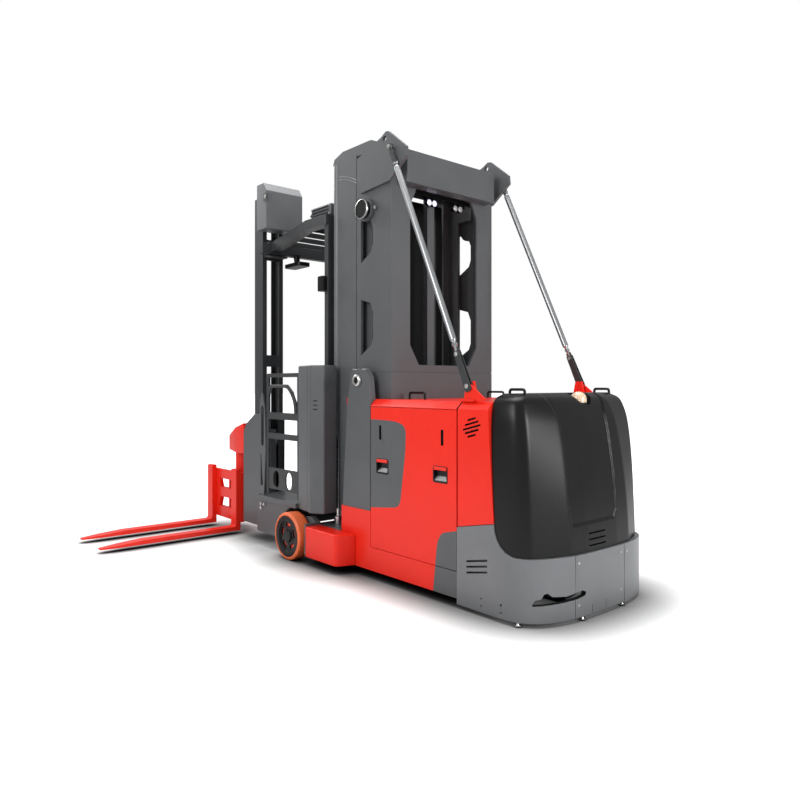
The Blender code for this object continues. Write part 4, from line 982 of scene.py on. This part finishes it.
def makeMastFittings(name, side):
    look = mastLook
    y, z = look["drum"]
    bm = bmesh.new()
    addSideSpun(bm, look["drumProfile"], side, (0, y, z), 40)
    newTidyPiece("mastDrum_" + name, bm, "blackMoulding", "chassis", 30)
    bm = bmesh.new()
    addSideSpun(bm, look["drumRim"], side, (0, y, z), 48)
    addBolt(bm, (side * 0.532, y - 0.10, z), "x", side, 0.010, 0.008)
    newTidyPiece("mastDrumRim_" + name, bm, "zincBolt", "chassis", 40)
    bm = bmesh.new()
    for drop in (0, 0.022):
        wire = [(side * look["wireX"], a, b - drop) for a, b in look["wire"]]
        addTube(bm, wire, 0.0022, 0.05)
    newTidyPiece("mastWires_" + name, bm, "zincBolt", "chassis", 60)
    y, z = look["boss"]
    face = look["bossFace"]
    bm = bmesh.new()
    addSideSpun(bm, look["bossRing"], side, (0, y, z), 40)
    newTidyPiece("bracketRing_" + name, bm, "zincBolt", "chassis", 30)
    bm = bmesh.new()
    for tab in (-0.052, 0.052):
        addBlock(bm, (side * 0.560, y + tab - 0.018, z + 0.074), (side * 0.603, y + tab + 0.018, z + 0.0825))
    soften(bm, 0.002)
    newTidyPiece("bracketTabs_" + name, bm, "zincBolt", "chassis")
    bm = bmesh.new()
    addRod(bm, (side * (face - 0.005), y, z), (side * (face + 0.003), y, z), 0.0235, segments=28)
    addRod(bm, (side * (face + 0.002), y, z), (side * (face + 0.0045), y, z), 0.012, segments=6)
    newTidyPiece("bracketPin_" + name, bm, "blackMoulding", "chassis", 30)
    dress("mast_bracket_" + name, skinOf("mast_bracket_" + name, 0.005), "greyPaint")


# Lenses on the twin lights under the mast's top beam
def makeWorkLights():
    look = mastLook
    dress("work_lights", skinOf("work_lights", 0.0012), "blackMoulding")
    for lensName, spots in look["lights"].items():
        bm = bmesh.new()
        for x in spots:
            addSpun(bm, look["lensProfile"], (x, look["lightFront"], look["lightZ"]), "y", 28)
        newTidyPiece(lensName + "Lenses", bm, lensName, "chassis", 30)


# A black sheet that stands in for the shade inside the mast, the pipes before it, and the shroud
def makeShadeScreen():
    look = mastLook
    (left, low), (right, high) = look["screen"]
    bm = bmesh.new()
    addPlate(bm, roundRect(left, low, right, high, 0.02), "y", *look["screenY"])
    for x, radius in look["pipes"]:
        y = look["screenY"][0] - radius
        addRod(bm, (x, y, low + 0.01), (x, y, high - 0.01), radius, segments=14)
    newTidyPiece("mastShadeScreen", bm, "blackMoulding", "inner_mast", 40)
    (left, low), (right, high) = look["shroud"]
    bm = bmesh.new()
    addPlate(bm, roundRect(left, low, right, high, 0.01), "y", *look["shroudY"])
    newTidyPiece("lightShroud", bm, "blackMoulding", "chassis", 40)


makeShadeScreen()
makeOuterMast()
for name, side in sides:
    makeMastFittings(name, side)
makeWorkLights()
print("mast ready")

# Load wheels: hubs whose slots show a red disc behind, and black rims sunk in the tyres' outer faces
wheelLook = {
    "radius": 0.1815, "bolts": 5, "boltCircle": 0.062, "boltX": 0.7555, "firstBolt": 54,
    # how far out the rim's seat runs, and its radius
    "seat": (0.763, 0.792, 0.158),
    "rim": [(0.762, 0.118), (0.768, 0.118), (0.7705, 0.124), (0.7705, 0.152), (0.768, 0.1576),
            (0.762, 0.1576)],
    "disc": [(0.742, 0.055), (0.742, 0.112), (0.738, 0.112), (0.738, 0.055)],
    "cap": [(0.7715, 0.0), (0.7715, 0.026), (0.762, 0.041), (0.752, 0.041), (0.752, 0.0)],
}


def makeWheel(name, side):
    look = wheelLook
    body = "load_wheel_" + name
    dress("load_hub_" + name, skinOf("load_hub_" + name, 0.0015), "blackMoulding")
    centre = (0, 0, look["radius"])
    tool = bmesh.new()
    start, end, radius = look["seat"]
    addRod(tool, (side * start, 0, centre[2]), (side * end, 0, centre[2]), radius, segments=72)
    tyre = cutWith(skinOf("load_tyre_" + name, 0.003), tool)
    dress("load_tyre_" + name, tyre, "polyTyre")
    bm = bmesh.new()
    addSideSpun(bm, look["rim"], side, centre, 72)
    newTidyPiece("wheelRim_" + name, bm, "blackMoulding", body, 30)
    bm = bmesh.new()
    addSideSpun(bm, look["disc"], side, centre, 40)
    newTidyPiece("wheelDisc_" + name, bm, "hubRed", body, 30)
    bm = bmesh.new()
    for i in range(look["bolts"]):
        angle = math.radians(360 / look["bolts"] * i + look["firstBolt"])
        spot = (side * look["boltX"], look["boltCircle"] * math.cos(angle),
                look["radius"] + look["boltCircle"] * math.sin(angle))
        addBolt(bm, spot, "x", side, 0.006, 0.006)
    newTidyPiece("wheelBolts_" + name, bm, "darkSteel", body, 40)
    bm = bmesh.new()
    addSideSpun(bm, look["cap"], side, centre, 36)
    newTidyPiece("wheelCap_" + name, bm, "blackMoulding", body, 30)


for name, side in sides:
    makeWheel(name, side)
print("wheels ready")

# Cab sides: grab loops on the gates, seams and louvres on the cabinets
cabLook = {"loopRadius": 0.0145, "gateX": 0.655,
           "loop": [(0.471, 1.24), (0.455, 1.333), (0.16, 1.333), (0.060, 1.215), (0.048, 1.09)],
           "roofRibs": (0.25, 0.5, 0.75), "plugs": 4,
           "floorBolts": ((0.522, 0.357), (0.473, 0.357), (0.522, 0.323))}


def makeCabSide(name, side):
    look = cabLook
    x = side * look["gateX"]
    bm = bmesh.new()
    addTube(bm, [(x, y, z) for y, z in look["loop"]], look["loopRadius"], 0.06)
    newTidyPiece("grabLoop_" + name, bm, "deepPaint", "gate_" + name, 45)
    bm = skinOf("rear_cabinet_" + name, 0.010, segments=3)
    tool = bmesh.new()
    addPlate(tool, [(-0.205, 0.37), (-0.205, 1.50), (-0.2085, 1.50), (-0.2085, 0.37)], "x",
             side * 0.708, side * 0.75)
    for row in range(3):
        z = 1.155 + row * 0.032
        addBlock(tool, (side * 0.690, -0.330, z), (side * 0.74, -0.270, z + 0.010))
    bm = cutWith(bm, tool)
    dress("rear_cabinet_" + name, bm, "greyPaint")
    dress("front_pillar_" + name, skinOf("front_pillar_" + name, 0.0015), "greyPaint")


def nodeBox(name):
    return [Vector(corner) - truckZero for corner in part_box(name)]


# Small parts of the cab: ribs and plugs on the roof unit, a lamp under the guard, a box on the post
def makeCabFittings():
    look = cabLook
    low, high = nodeBox("roof_unit")
    middle = (low.z + high.z) / 2
    bm = bmesh.new()
    for share in look["roofRibs"]:
        z = low.z + (high.z - low.z) * share
        addBlock(bm, (low.x - 0.004, low.y + 0.03, z - 0.005), (low.x + 0.002, high.y - 0.03, z + 0.005))
    for step in range(look["plugs"]):
        x = low.x + 0.035 + 0.05 * step
        addRod(bm, (x, high.y - 0.002, middle), (x, high.y + 0.030, middle), 0.015, segments=16)
        addRod(bm, (x, high.y + 0.028, middle), (x, high.y + 0.042, middle), 0.010, segments=16)
    newTidyPiece("roofRibs", bm, "blackMoulding", "cab", 40)
    bm = bmesh.new()
    for y in (low.y + 0.02, high.y - 0.02):
        for z in (low.z + 0.018, high.z - 0.018):
            addBolt(bm, (low.x, y, z), "x", -1, 0.006, 0.004)
    newTidyPiece("roofBolts", bm, "zincBolt", "cab", 40)
    bm = bmesh.new()
    addPlate(bm, roundRect(-0.36, 0.47, -0.24, 0.72, 0.03), "z", 2.368, 2.404)
    soften(bm, 0.006, 50, 3)
    addRod(bm, (-0.30, 0.60, 2.400), (-0.30, 0.60, 2.475), 0.022, 0.030)
    newTidyPiece("cabLamp", bm, "blackMoulding", "cab")
    bm = bmesh.new()
    addPlate(bm, roundRect(-0.195, 2.065, -0.114, 2.182, 0.012), "x", -0.562, -0.500)
    for row in range(4):
        z = 2.083 + 0.026 * row
        addBlock(bm, (-0.566, -0.180, z), (-0.561, -0.129, z + 0.010))
    newTidyPiece("postBox", bm, "blackMoulding", "cab", 40)
    low, high = nodeBox("cab_floor")
    for name, side in sides:
        bm = bmesh.new()
        for y, z in look["floorBolts"]:
            addBolt(bm, (high.x if side > 0 else low.x, y, z), "x", side, 0.010, 0.006)
        newTidyPiece("floorBolts_" + name, bm, "zincBolt", "cab", 40)
    low, high = nodeBox("aux_cap")
    bm = bmesh.new()
    addPlate(bm, roundRect(0.520, 2.885, 0.578, 2.955, 0.010), "x", low.x - 0.004, low.x + 0.001)
    newTidyPiece("capPlate", bm, "deepPaint", "aux_mast", 40)
    bm = bmesh.new()
    addBolt(bm, (low.x - 0.004, 0.549, 2.925), "x", -1, 0.012, 0.006)
    newTidyPiece("capBolt", bm, "zincBolt", "aux_mast", 40)


for name, side in sides:
    makeCabSide(name, side)
makeCabFittings()
print("cab ready")
